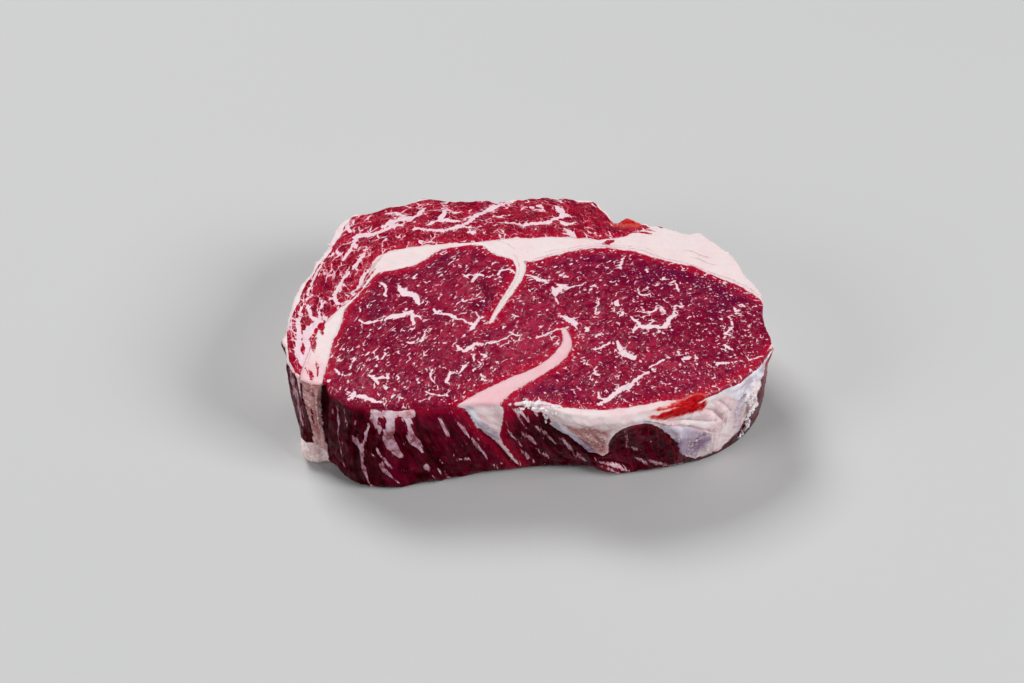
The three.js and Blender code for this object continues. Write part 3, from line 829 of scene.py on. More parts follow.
@dataclass
class SurfaceMap:
    """What each point of a piece carries for its material: fat, grain, tone, stain and film."""

    points: Array
    cap: bool

    def __post_init__(self) -> None:
        """Works out how far each point is on the side, and where it lies on the unrolled front."""
        self.x, self.y, self.z = self.points.T
        self.side = 1 - smooth(*RIM_BAND, self.z)
        self.front = self.side * smooth(0, -20, self.y)
        self.on_front = self.front > 0.01
        self.unrolled = np.full((len(self.points), 2), FAR)
        self.unrolled[self.on_front] = front_place(self.points[self.on_front])

    def noise(self, cell: float, layers: int, seed: int) -> Array:
        """Layered noise at the points."""
        return layered_noise(self.points, cell, layers, seed)

    def on_both(self, upper: Iterable[Array], front: Iterable[Array]) -> Array:
        """Millimetres inside lines placed on the upper face and on the front."""
        below = smooth(THICKNESS - 0.8, THICKNESS - 3.5, self.z)
        above = lines_field(self.points[:, :2], upper) - OFF_FACE * below
        ahead = lines_field(self.unrolled, front) - OFF_FACE * (1 - smooth(0.3, 0.8, self.front))
        return np.maximum(above, ahead)

    def membrane(self) -> Array:
        """Millimetres inside the thin membranes: the placed ones, and those that follow the seam's edges."""
        x = self.x
        depth = SEAM.inside(self.points)
        wander = layered_noise(self.points[:, :2], 6, 2, 51)
        inner = 1 - outer_side(self.points)
        near = 0.22 - np.abs(depth - 0.7 - 0.4 * wander) - 3 * (1 - inner * smooth(4, 8, x))
        far = 0.16 - np.abs(depth - 1.9 - wander) - 3 * (1 - inner * smooth(8, 12, x) * smooth(58, 50, x))
        outer = 0.12 - np.abs(depth - 0.7 - 0.5 * wander) - 3 * np.maximum(inner, smooth(30, 36, x))
        followed = np.maximum.reduce([near, far, outer]) - OFF_FACE * self.side
        return np.maximum(followed, self.on_both(MEMBRANES, FRONT_SINEWS))

    @cached_property
    def solid_fat(self) -> Array:
        """Millimetres inside the layers of fat, with the fat as it shows on the front."""
        depth = seam_depth(self.points)
        areas = np.clip(areas_field(self.unrolled, FRONT_FAT), -6, 6)
        return depth + smooth(0.25, 0.75, self.front) * (areas - depth)

    def rind(self) -> Array:
        """How much of the outer fat covers the side, behind and on the left, and the rim over it."""
        x, y = self.x, self.y
        wander = 12 * layered_noise(self.points * np.array([1, 1, 0.6]), 13, 4, 27)
        outer = np.maximum(smooth(20, 32, y), smooth(-62, -70, x) * smooth(-12, 0, y + wander))
        patches = layered_noise(self.points * np.array([1, 1, 0.5]), 16, 3, 21)
        cover = self.side * outer * smooth(-0.24, 0.04, patches + 0.12 * self.noise(3, 3, 25))
        if not self.cap:
            return cover
        rim, _ = outline_steps(300)
        gap = -line_field(self.points[:, :2], rim * np.array([1, 1, 0]), 4.0)
        left = smooth(-54, -62, x) * smooth(-14, -4, y)
        width = 1.7 * left + 0.7 * (1 - left) + 1.3 * self.noise(5, 3, 23)
        return np.maximum(cover, smooth(0.5, -0.3, gap - width) * (1 - self.side * smooth(-4, -12, y)))

    def rose(self) -> Array:
        """How pink the fat is."""
        branch = 0.03 * smooth(-1.5, 0.2, BRANCH.inside(self.points)) * smooth(26, 18, self.y)
        blade = 0.38 * smooth(-1, 0.5, BLADE.inside(self.points))
        return np.maximum.reduce([branch, blade, spots(self.x, self.y, (-67, -36, 6, 8, 0.6))])

    def richness(self) -> Array:
        """How much more fat than elsewhere runs through the cap."""
        return spots(self.x, self.y, (-58, 38, 6, 7, 0.15), (32, 44, 12, 8, -0.2)) * (1 - self.side)

    def tone(self) -> Array:
        """From 0, pale and brownish, to 1, deep crimson, over the lean."""
        pale = spots(self.x, self.y, (6, -20, 26, 24, 1), (62, -36, 24, 10, 0.7), (-20, 8, 16, 14, 0.5))
        return np.clip(0.75 - 0.5 * pale + 0.3 * self.noise(12, 3, 31), 0, 1)

    def bloom(self) -> Array:
        """Where a violet sheen is painted on the upper face of the lean: a painted reflection of soft light
        on the wet surface.
        """
        right = (52, 11, 17, 7, 1), (27, 20, 12, 4, 1), (70, 0, 12, 9, 1)
        total = spots(self.x, self.y, *right, (-9, -2, 4, 5, 1), (14, -44, 10, 5, 1))
        total = total + 0.5 * smooth(0.1, 0.5, self.noise(9, 3, 35))
        return np.clip(total * (0.75 + 0.5 * self.noise(6, 3, 33)), 0, 1) * (1 - self.side)

    def crease(self) -> Array:
        """How deep each point lies in the creases of the front, where the lean is painted darker as shade."""
        return self.side * smooth(-1.0, 0.3, lines_field(self.unrolled, FRONT_CREASES))

    def lip(self) -> Array:
        """The bright red edges of lean on the front: a corner, a tag, the blade's edge, a strip, the rim."""
        x, z = self.unrolled.T
        edges = spots(x, z, (-55, 39, 8, 1.6, 1), (35, 6, 6.5, 5, 1), (-0.5, 36, 2.6, 5, 0.6))
        strip = 0.4 * smooth(84, 86, x) * smooth(102, 88, x)
        rim = 0.8 * bell((z - 37.6) / 1.6) * smooth(-64, -58, x) * smooth(-14, -22, x)
        return np.where(self.on_front, np.clip(edges + strip + rim, 0, 1), 0)

    def stain(self) -> Array:
        """Where fresh blood colours the fat."""
        ahead = areas_field(self.unrolled, STAIN_AREA) - 9 * (1 - self.side)
        above = areas_field(self.points[:, :2], STAIN_RIM_AREA) - 9 * self.side
        blot = smooth(-1.3, 0.8, np.maximum(ahead, above) + self.noise(3, 3, 37))
        behind = spots(self.x, self.y, (41, 42.5, 4.5, 2.4, 1)) * smooth(24, 36, self.z)
        return np.clip(blot + behind, 0, 1)

    def film(self) -> Array:
        """Where a thin grey membrane lies over the surface."""
        x, z = self.unrolled.T
        sheet = smooth(-1.6, 1.2, areas_field(self.unrolled, FILM_AREAS))
        # Along the arch's edge the membrane's pale grey also stands for a painted highlight on the glossy
        # edge.
        edge = 0.9 * bell((outside_arch(x, z) - 1) / 1.2) * smooth(52, 44, x) * smooth(30, 33, x)
        return np.where(self.on_front, np.maximum(sheet, edge), 0)

    def torn(self) -> Array:
        """Where the side's fat is torn open and white: at the right end, and on the knob at the left."""
        spot = spots(*self.unrolled.T, (80, 23, 4.6, 9, 1), (-68, 3, 6, 6, 1))
        return self.side * smooth(0.35, 0.65, spot + 0.3 * self.noise(1.6, 3, 43))

    def tan(self) -> Array:
        """Where the fat on the side is brownish pink: the left strip's own dry colour, and on the wing also
        painted shade.
        """
        return np.where(self.on_front, smooth(-1.5, 1.5, areas_field(self.unrolled, TAN_AREAS)), 0)

    def gloom(self) -> Array:
        """How dark the lean is painted on the side, its own dark red and painted shade together: little under
        the upper rim, and fully lower down.
        """
        x = self.x
        far_left = self.front * smooth(-44, -54, x)
        down = smooth(37, 27, self.z - 7 * far_left + 3 * self.noise(7, 2, 39))
        blade = self.front * smooth(-26, -20, x) * smooth(10, 4, x) * smooth(-7, -1, self.solid_fat)
        return self.side * (0.3 + 0.7 * down) * (1 - 0.8 * self.lip()) * (1 + 0.4 * far_left - 0.6 * blade)

    def write(self, mesh: bpy.types.Mesh) -> None:
        """Stores the maps as the mesh's attributes."""
        layers = {
            "marble": (self.solid_fat, self.on_both(EYE_VEINS + CAP_VEINS, FRONT_STREAKS), self.rind()),
            # tint's second value is the painted violet sheen.
            "tint": (self.tone(), self.bloom(), self.stain()),
            "cover": (self.film(), self.side, self.tan()),
            # detail's third value is the side's darkness: the lean's own dark red and painted shade.
            "detail": (self.membrane(), self.on_both(TOP_SLITS, FRONT_SLITS), self.gloom()),
            # cast's third value is the creases, where the lean is painted darker as shade.
            "cast": (self.rose(), self.richness(), self.crease()),
            "wear": (self.torn(),) * 3,
            "grain": Grain.of(self.points, self.cap).T,
        }
        for name, values in layers.items():
            layer = mesh.attributes.new(name, "FLOAT_VECTOR", "POINT")
            layer.data.foreach_set("vector", np.column_stack(values).astype(np.float32).ravel())


# ---- Meshes and cuts


def linked(name: str, data: bpy.types.ID) -> Piece:
    """A new object in the scene."""
    piece = bpy.data.objects.new(name, data)
    bpy.context.scene.collection.objects.link(piece)
    return piece


def new_mesh(name: str, points: Array, faces: Iterable[Sequence[int]], edges: Sequence = ()) -> Piece:
    """A linked object with a mesh of the given points, faces and loose edges."""
    mesh = bpy.data.meshes.new(name)
    mesh.from_pydata(points.tolist(), edges, faces.tolist() if isinstance(faces, Array) else faces)
    return linked(name, mesh)


def carry_out(piece: Piece) -> Piece:
    """Gives an object the mesh that its modifiers make, and takes them off."""
    mesh = bpy.data.meshes.new_from_object(piece.evaluated_get(bpy.context.evaluated_depsgraph_get()))
    piece.modifiers.clear()
    piece.data = mesh
    return piece


def cut(piece: Piece, tool: Piece, how: str) -> Piece:
    """A new closed object: the UNION, DIFFERENCE or INTERSECT of a piece and a tool."""
    made = linked("cut", piece.data.copy())
    modifier = made.modifiers.new("cut", "BOOLEAN")
    modifier.operation = how
    modifier.solver = "MANIFOLD"
    modifier.object = tool
    return carry_out(made)


def mesh_points(mesh: bpy.types.Mesh) -> Array:
    """A mesh's points, one row each."""
    flat = np.empty(len(mesh.vertices) * 3)
    mesh.vertices.foreach_get("co", flat)
    return flat.reshape(-1, 3)


def loose_parts(mesh: bpy.types.Mesh) -> list[Array]:
    """The points of each separate part of a mesh, the largest part first."""
    edges = np.empty(len(mesh.edges) * 2, int)
    mesh.edges.foreach_get("vertices", edges)
    edges = edges.reshape(-1, 2)
    label = np.arange(len(mesh.vertices))
    while True:
        low = np.minimum(label[edges[:, 0]], label[edges[:, 1]])
        lowered = label.copy()
        np.minimum.at(lowered, edges[:, 0], low)
        np.minimum.at(lowered, edges[:, 1], low)
        lowered = lowered[lowered]
        if (lowered == label).all():
            break
        label = lowered
    names, sizes = np.unique(label, return_counts=True)
    return [np.flatnonzero(label == names[i]) for i in np.argsort(-sizes)]


def keep_points(mesh: bpy.types.Mesh, kept: Array, name: str) -> Piece:
    """A new object with only some of a mesh's points and the faces between them."""
    wanted = np.full(len(mesh.vertices), -1)
    wanted[kept] = np.arange(len(kept))
    faces = [[wanted[i] for i in face.vertices] for face in mesh.polygons]
    return new_mesh(name, mesh_points(mesh)[kept], [face for face in faces if face[0] >= 0])


def prism(base: Iterable[Sequence[float]], top: Iterable[Sequence[float]]) -> Piece:
    """The closed solid between two loops of as many points, with its faces outwards."""
    points = np.vstack([base, top])
    count = len(points) // 2
    faces = [[i, (i + 1) % count, (i + 1) % count + count, i + count] for i in range(count)]
    faces += [list(range(count - 1, -1, -1)), list(range(count, 2 * count))]
    piece = new_mesh("prism", points, faces)
    mesh = piece.data
    mesh.calc_loop_triangles()
    corners = points[np.array([t.vertices for t in mesh.loop_triangles])]
    if np.einsum("ij,ij->i", corners[:, 0], np.cross(corners[:, 1], corners[:, 2])).sum() < 0:
        mesh.flip_normals()
    return piece


def curtain(ribbon: Ribbon, grow: float = 0.0) -> Piece:
    """A ribbon of fat as a cutting tool, from over the steak to under it."""
    past = 4.0  # the faces, so that it cuts right through
    loops = [(ribbon.loop(z, grow), z) for z in (-past, THICKNESS + past)]
    return prism(*(np.column_stack([loop, np.full(len(loop), z)]) for loop, z in loops))


def front_tool(outline: Array) -> Piece:
    """An outline in x and z as a cutting tool through the front, along Y."""
    before, behind = -90.0, -30.0  # y on either side of the fat there
    return prism(*([(x, y, z) for x, z in outline] for y in (before, behind)))


def arch_tool() -> Piece:
    """The arch over the rib meat as a cutting tool."""
    corners = 96
    turns = np.linspace(0, 2 * math.pi, corners, endpoint=False)
    return front_tool(ARCH_AT + np.array(ARCH_SIZE) / 2 * np.column_stack([np.cos(turns), np.sin(turns)]))


def hem_tool() -> Piece:
    """The space under the hem of the rib side's fat as a cutting tool."""
    reach = 30  # well past the wing on either side
    along, middle = reach * hem_run(), np.mean(FAT_HEM, axis=0)
    down = 2 * np.array([along[1], -along[0]])
    return front_tool([middle - along, middle + along, middle + along + down, middle - along + down])


@dataclass
class Carcass:
    """Cuts the skin into its tissues."""

    skin: Skin

    def pieces(self) -> dict[Tissue, Piece]:
        """Every tissue as a closed object, in millimetres in the outline's coordinates."""
        others = set(bpy.data.objects)
        arch = arch_tool()
        rib_fat = cut(cut(curtain(RIB_FAT), arch, "DIFFERENCE"), hem_tool(), "DIFFERENCE")
        tools = {
            Tissue.SEAM: cut(curtain(SEAM), curtain(BRANCH), "UNION"),
            Tissue.BLADE: curtain(BLADE),
            Tissue.RIB_FAT: rib_fat,
            Tissue.RIB_MEAT: cut(curtain(RIB_FAT, RIB_MEAT_DEPTH), arch, "INTERSECT"),
        }
        whole = rest = new_mesh("whole", self.skin.points, self.skin.faces)
        made = {}
        for tissue, tool in tools.items():
            part = cut(whole, tool, "INTERSECT").data
            made[tissue] = keep_points(part, loose_parts(part)[0], tissue.value + "_piece")
            rest = cut(rest, tool, "DIFFERENCE")
        for tissue, part in zip((Tissue.EYE, Tissue.CAP), loose_parts(rest.data)):
            made[tissue] = keep_points(rest.data, part, tissue.value + "_piece")
        for helper in set(bpy.data.objects) - others - set(made.values()):
            bpy.data.objects.remove(helper)
        return made


# ---- Shader nodes


@dataclass(frozen=True)
class Value:
    """A node's output, with Python's operators. A name in brackets picks another output of the node."""

    bench: "Bench"
    socket: bpy.types.NodeSocket

    def __getitem__(self, name: str) -> "Value":
        """Another output of the same node."""
        return Value(self.bench, self.socket.node.outputs[name])

    def __add__(self, other: "Feed") -> "Value":
        """The sum."""
        return self.bench.math("ADD", self, other)

    def __sub__(self, other: "Feed") -> "Value":
        """The difference."""
        return self.bench.math("SUBTRACT", self, other)

    def __rsub__(self, other: float) -> "Value":
        """The difference from a number."""
        return self.bench.math("SUBTRACT", other, self)

    def __mul__(self, other: "Feed") -> "Value":
        """The product."""
        return self.bench.math("MULTIPLY", self, other)


Feed = Value | float | tuple
Feeds = dict[str | int, Feed]
Triple = tuple[float, float, float]

# The places of a mix node's two inputs and its output, for each kind of value.
MIX_SOCKETS = {"FLOAT": (2, 3, 0), "VECTOR": (4, 5, 1), "RGBA": (6, 7, 2)}


@dataclass(frozen=True)
class Bench:
    """Adds nodes to a tree and wires them."""

    tree: bpy.types.NodeTree

    def node(self, kind: str, feeds: Feeds | None = None, **settings: object) -> bpy.types.Node:
        """A new node with some of its settings.

        Args:
            kind: the node's type.
            feeds: values or links for some of its inputs, by name or place. A colour is three numbers.
            settings: the node's own settings.

        Returns:
            The node.
        """
        made = self.tree.nodes.new(kind)
        for name, value in settings.items():
            setattr(made, name, value)
        for name, value in (feeds or {}).items():
            socket = made.inputs[name]
            if isinstance(value, Value):
                self.tree.links.new(value.socket, socket)
            else:
                socket.default_value = (*value, 1) if socket.type == "RGBA" else value
        return made

    def add(self, kind: str, feeds: Feeds | None = None, out: str | int = 0, **settings: object) -> Value:
        """One output of a new node."""
        return Value(self, self.node(kind, feeds, **settings).outputs[out])

    def math(self, how: str, *values: Feed, clamp: bool = False) -> Value:
        """The result of a math node."""
        return self.add("ShaderNodeMath", dict(enumerate(values)), operation=how, use_clamp=clamp)

    def most(self, *values: Value) -> Value:
        """The largest of some values."""
        return reduce(lambda first, second: self.math("MAXIMUM", first, second), values)

    def step(self, value: Feed, low: Feed, high: Feed) -> Value:
        """A soft step of a value, from 0 at low to 1 at high."""
        feeds = {"Value": value, "From Min": low, "From Max": high}
        return self.add("ShaderNodeMapRange", feeds, interpolation_type="SMOOTHSTEP")

    def mix(self, share: Feed, first: Feed, second: Feed, kind: str = "RGBA") -> Value:
        """A colour between two, or another kind of value."""
        start, end, out = MIX_SOCKETS[kind]
        return self.add("ShaderNodeMix", {0: share, start: first, end: second}, out, data_type=kind)

    def fade(self, share: Feed, first: Feed, middle: Feed, last: Feed) -> Value:
        """A colour that runs from the first through the middle one to the last."""
        late = self.step(share, 0.4, 1.0)
        return self.mix(late, self.mix(self.step(share, 0.0, 0.55), first, middle), last)

    def blend(self, share: Feed, first: Feed, second: Feed) -> Value:
        """A value between two."""
        return self.mix(share, first, second, "FLOAT")

    def vector(self, how: str, *values: Feed) -> Value:
        """The result of a vector math node."""
        return self.add("ShaderNodeVectorMath", dict(enumerate(values)), operation=how)

    def stretch(self, vector: Value, x: float, y: float = 1.0, z: float = 1.0) -> Value:
        """A vector with each of its values multiplied."""
        return self.vector("MULTIPLY", vector, (x, y, z))

    def noise(self, vector: Value, scale: float, detail: float = 2.0, roughness: float = 0.5) -> Value:
        """Soft noise between 0 and 1."""
        feeds = {"Vector": vector, "Scale": scale, "Detail": detail, "Roughness": roughness}
        return self.add("ShaderNodeTexNoise", feeds)

    def warp(self, vector: Value, scale: float, reach: float) -> Value:
        """A vector pushed about by soft noise."""
        push = self.vector("SUBTRACT", self.noise(vector, scale, 1.0)["Color"], (0.5, 0.5, 0.5))
        return self.vector("MULTIPLY_ADD", push, (reach, reach, reach), vector)

    def cells(self, vector: Value, scale: float, feature: str = "F1") -> Value:
        """The distances of a cell texture."""
        feeds = {"Vector": vector, "Scale": scale}
        return self.add("ShaderNodeTexVoronoi", feeds, "Distance", feature=feature)

    def walls(self, vector: Value, scale: float) -> Value:
        """The distance to the nearest border between cells."""
        return self.cells(vector, scale, "DISTANCE_TO_EDGE")

    def split(self, vector: Value) -> list[Value]:
        """A vector's three values."""
        made = self.add("ShaderNodeSeparateXYZ", {0: vector})
        return [made[name] for name in "XYZ"]

    def layer(self, name: str) -> Value:
        """A vector that the mesh carries."""
        return self.add("ShaderNodeAttribute", out="Vector", attribute_name=name)

    def place(self) -> Value:
        """The place on the object, in millimetres."""
        return self.stretch(self.add("ShaderNodeTexCoord", out="Object"), 1 / MM, 1 / MM, 1 / MM)

    def surface(self, feeds: Feeds) -> None:
        """The shader that ends a material, with its inputs."""
        self.node("ShaderNodeOutputMaterial", {"Surface": self.add("ShaderNodeBsdfPrincipled", feeds)})


Labels = dict[str, str]  # for each kind of socket, the sockets' names in words


class Group:
    """A node group with named inputs and outputs."""

    def __init__(self, name: str, inputs: Labels, outputs: Labels, kind: str = "Shader") -> None:
        """Makes the empty group.

        Args:
            name: the group's name.
            inputs: its inputs.
            outputs: its outputs.
            kind: Shader or Geometry.
        """
        self.tree = bpy.data.node_groups.new(name, kind + "NodeTree")
        self.ids = {}
        for way, table in (("INPUT", inputs), ("OUTPUT", outputs)):
            for sort, label in ((sort, label) for sort, labels in table.items() for label in labels.split()):
                socket = self.tree.interface.new_socket(label, in_out=way, socket_type="NodeSocket" + sort)
                self.ids[label] = socket.identifier
        self.bench = Bench(self.tree)
        self.given = self.bench.add("NodeGroupInput")

    def give(self, **values: Value) -> None:
        """Wires the outputs, inside the group."""
        self.bench.node("NodeGroupOutput", values)

    def use(self, bench: Bench, **values: Feed) -> Value:
        """Puts the group into a material with its own values."""
        return bench.add("ShaderNodeGroup", values, node_tree=self.tree)


def marbling_group() -> Group:
    """Fat in lean: the placed veins, drawn in between rounded bundles, and flecks, twigs and a net."""
    inputs = {"Vector": "Grain", "Float": "Vein Side Rich Flecks Twigs Net"}
    group = Group("marbling", inputs, {"Float": "Fat Bundle Lot"})
    b, given = group.bench, group.given
    grain, side, vein = given["Grain"], given["Side"], given["Vein"]
    bent = b.warp(b.warp(grain, 0.4, 2.2), 1.3, 0.3)
    bundled = b.stretch(bent, 0.6)
    bundles = b.walls(bundled, 0.55)
    fringe = b.noise(grain, 1.1) - 0.5
    ragged = (b.blend(side, 0.1, 0.16) - bundles) * b.blend(side, 1.7, 2.4) + fringe * b.blend(side, 0.5, 1.8)
    veins = b.step(vein + ragged, b.blend(side, -0.18, -0.2), b.blend(side, 0.22, 0.35))

    clumps = b.step(b.noise(grain, 0.13, 2.0, 0.6), 0.2, 0.8)
    plenty = given["Flecks"] * b.blend(side, 1.0, 0.75) * b.blend(clumps, 0.75, 1.4)

    def specks(long: float, wide: float, scale: float, rare: float, reach: float) -> Value:
        """Specks in stretched cells: only some cells hold one, each of its own size and strength."""
        cells = b.cells(b.stretch(bent, long, wide), scale)
        chance, strength, _ = b.split(cells["Color"])
        size = (chance - (rare - 0.3)) * b.math("GREATER_THAN", chance, rare)
        size = size * (plenty * (reach / (1.3 - rare)))
        return b.math("MULTIPLY", b.step(size - cells, -0.04, 0.07), b.blend(strength, 0.6, 1.1), clamp=True)

    dots = specks(0.75, 1.1, 0.6, 0.6, 0.26) * b.blend(side, 1.0, 0.25)
    dashes = specks(0.3, 1.15, 0.8, 0.55, 0.24)
    dust = specks(0.5, 1.0, 1.3, 0.65, 0.24) * 0.7

    width = (b.noise(grain, 0.42, 2.0, 0.6) - 0.57) * (given["Twigs"] * 0.8) + b.step(vein, -2.6, -0.3) * 0.04
    twigs = b.step(width - bundles, -0.05, 0.05) * (1.0 - side)

    coarse = b.walls(b.stretch(b.warp(b.warp(grain, 0.22, 3.5), 0.9, 0.8), 0.42), 0.33)
    width = (b.noise(b.stretch(grain, 0.5), 0.3, 3.0, 0.65) - 0.5) * 0.5 + given["Rich"] * 0.35
    fine = b.step(width * 0.7 + 0.01 - bundles, -0.05, 0.04) * 0.5
    web = b.most(b.step(width - coarse, -0.06, 0.03), fine) * given["Net"]

    lot = b.split(b.cells(bundled, 0.55)["Color"])[0]
    group.give(Fat=b.most(veins, dots, dashes, dust, twigs, web), Bundle=bundles, Lot=lot)
    return group


def lean_group() -> Group:
    """Lean meat: mottled along its fibres, from pale to deep, with a painted violet sheen and painted glints,
    and a cut side painted dark, its own dark red and painted shade together.
    """
    inputs = {"Vector": "Grain", "Float": "Bundle Lot Tone Bloom Rim Gloom"}
    inputs["Color"] = "Pale Deep Violet Crimson Dark"
    group = Group("lean", inputs, {"Color": "Color", "Float": "Height"})
    b, given = group.bench, group.given
    grain, bloom, violet = given["Grain"], given["Bloom"], given["Violet"]
    seams = b.step(given["Bundle"] + b.noise(grain, 0.8) * 0.12, 0.2, 0.04)
    fibres = b.noise(b.stretch(b.warp(grain, 0.6, 0.8), 0.4, 1.5), 1.1, 4.0, 0.65)
    mottle = b.noise(b.stretch(grain, 0.7), 0.33, 3.0, 0.6)
    share = given["Tone"] + (mottle - 0.5) * 1.3 + seams * 0.35 + (given["Lot"] - 0.5) * 0.8
    share = b.math("ADD", share, (fibres - 0.5) * 2.0, clamp=True)
    fold = b.noise(b.stretch(b.warp(grain, 0.3, 2.0), 0.16), 0.7)
    fold = 1.0 - b.step(b.math("ABSOLUTE", fold - 0.5), 0.0, 0.03)
    colour = b.mix(share, given["Pale"], given["Deep"])
    colour = b.mix(fold * b.step(mottle, 0.35, 0.6), colour, violet)
    # The violet sheen is a painted reflection of soft light on the wet surface.
    colour = b.mix(bloom * b.step(mottle, 0.3, 0.6), colour, violet)
    colour = b.mix(given["Rim"] * b.step(fibres, 0.85, 0.4), colour, given["Crimson"])
    # Tiny lilac-white specks, most in the violet sheen: painted glints.
    glint_cells = b.cells(b.stretch(b.warp(grain, 1.2, 0.6), 0.7), 1.5)
    painted_glint = b.step((b.split(glint_cells["Color"])[0] - 0.45) * 0.5 - glint_cells, -0.05, 0.08)
    colour = b.mix(painted_glint * b.blend(b.step(bloom, 0.1, 0.7), 0.3, 1.0), colour, (0.62, 0.36, 0.55))
    # Lower on the side the lean turns to the dark colour: its own dark red and painted shade together.
    dark = b.mix(b.step(fibres, 0.6, 0.4), given["Dark"], b.mix(0.33, given["Dark"], given["Deep"]))
    colour = b.mix(given["Gloom"] * b.blend(b.step(mottle, 0.45, 0.7), 1.0, 0.6), colour, dark)
    group.give(Color=colour, Height=fibres - fold * 0.35)
    return group


def fat_group() -> Group:
    """Fat: cream with a blush, thin membranes, and a dry, brownish or filmed side, with painted shade on the
    brownish wing and low on the film.
    """
    inputs = {"Vector": "Place", "Color": "Cream Blush", "Float": "Rose Pinkness Film Tan Side Membrane Torn"}
    group = Group("fat", inputs, {"Color": "Color", "Float": "Height"})
    b, given = group.bench, group.given
    place, side = given["Place"], given["Side"]
    _, depth, height_on_side = b.split(place)
    ahead = b.step(depth, 4.0, -14.0)
    cloud = b.noise(place, 0.14, 4.0, 0.6)
    fine = b.noise(place, 0.9, 4.0, 0.65)
    share = b.step(cloud, 0.35, 0.75) * given["Pinkness"] + (fine - 0.5) * 0.3
    share = b.math("ADD", share, given["Rose"] * b.blend(fine, 0.7, 1.3), clamp=True)
    thread = b.step(given["Membrane"] + (fine - 0.5), -0.25, 0.3)
    feeds = {"Vector": b.warp(place, 0.12, 3.0), "Angle": math.radians(-40)}
    turned = b.add("ShaderNodeVectorRotate", feeds, rotation_type="Y_AXIS")
    slant = b.noise(b.stretch(turned, 0.14, 0.4, 0.8), 0.7, 4.0, 0.6)
    sheen = b.step(b.noise(b.stretch(turned, 0.2, 0.4, 0.5), 0.4), 0.35, 0.65)
    frayed = b.step(b.noise(place, 1.1, 3.0, 0.7), 0.5, 0.6) * b.step(cloud, 0.42, 0.6)
    frayed = b.most(frayed, given["Torn"])

    weathered = b.mix(b.step(slant, 0.38, 0.62), (0.8, 0.54, 0.57), (0.94, 0.83, 0.85))
    calm = b.mix(b.step(cloud, 0.35, 0.65), (0.8, 0.58, 0.58), (0.92, 0.8, 0.78))
    brown = b.mix(b.step(slant, 0.36, 0.64), (0.34, 0.09, 0.09), (0.6, 0.31, 0.3))
    # The membrane is painted darker low on the side and lighter high up: painted shade.
    low = b.mix(sheen, (0.2, 0.11, 0.2), (0.44, 0.34, 0.46))
    high = b.mix(sheen, (0.44, 0.38, 0.46), (0.88, 0.84, 0.93))
    grey = b.mix(b.step(height_on_side, 18.0, 30.0), low, high)
    loose = b.mix(b.step(fine, 0.4, 0.58), (0.8, 0.5, 0.46), (0.98, 0.87, 0.87))
    colour = b.mix(share, given["Cream"], given["Blush"])
    for cover, over in (
        (side * 0.75, b.mix(ahead, calm, weathered)),
        # The brownish pink is the left strip's own colour; on the wing it also stands for painted shade.
        (given["Tan"] * b.step(fine, 0.8, 0.5), brown),
        (b.step(given["Film"] + (slant - 0.5) * 1.4, 0.25, 0.75), grey),
        (frayed * (side * 0.85), loose),
        (thread * 0.45, (0.42, 0.1, 0.12)),
    ):
        colour = b.mix(cover, colour, over)
    height = fine * 0.6 + cloud * 0.8 + side * (slant * ahead + frayed * 0.5) - thread * 0.5
    group.give(Color=colour, Height=height)
    return group


@dataclass(frozen=True)
class Groups:
    """The shader node groups that the materials share."""

    marbling: Group
    lean: Group
    fat: Group


def new_material(name: str) -> bpy.types.Material:
    """A material with an empty tree."""
    made = bpy.data.materials.new(name)
    made.use_nodes = True
    made.node_tree.nodes.clear()
    return made


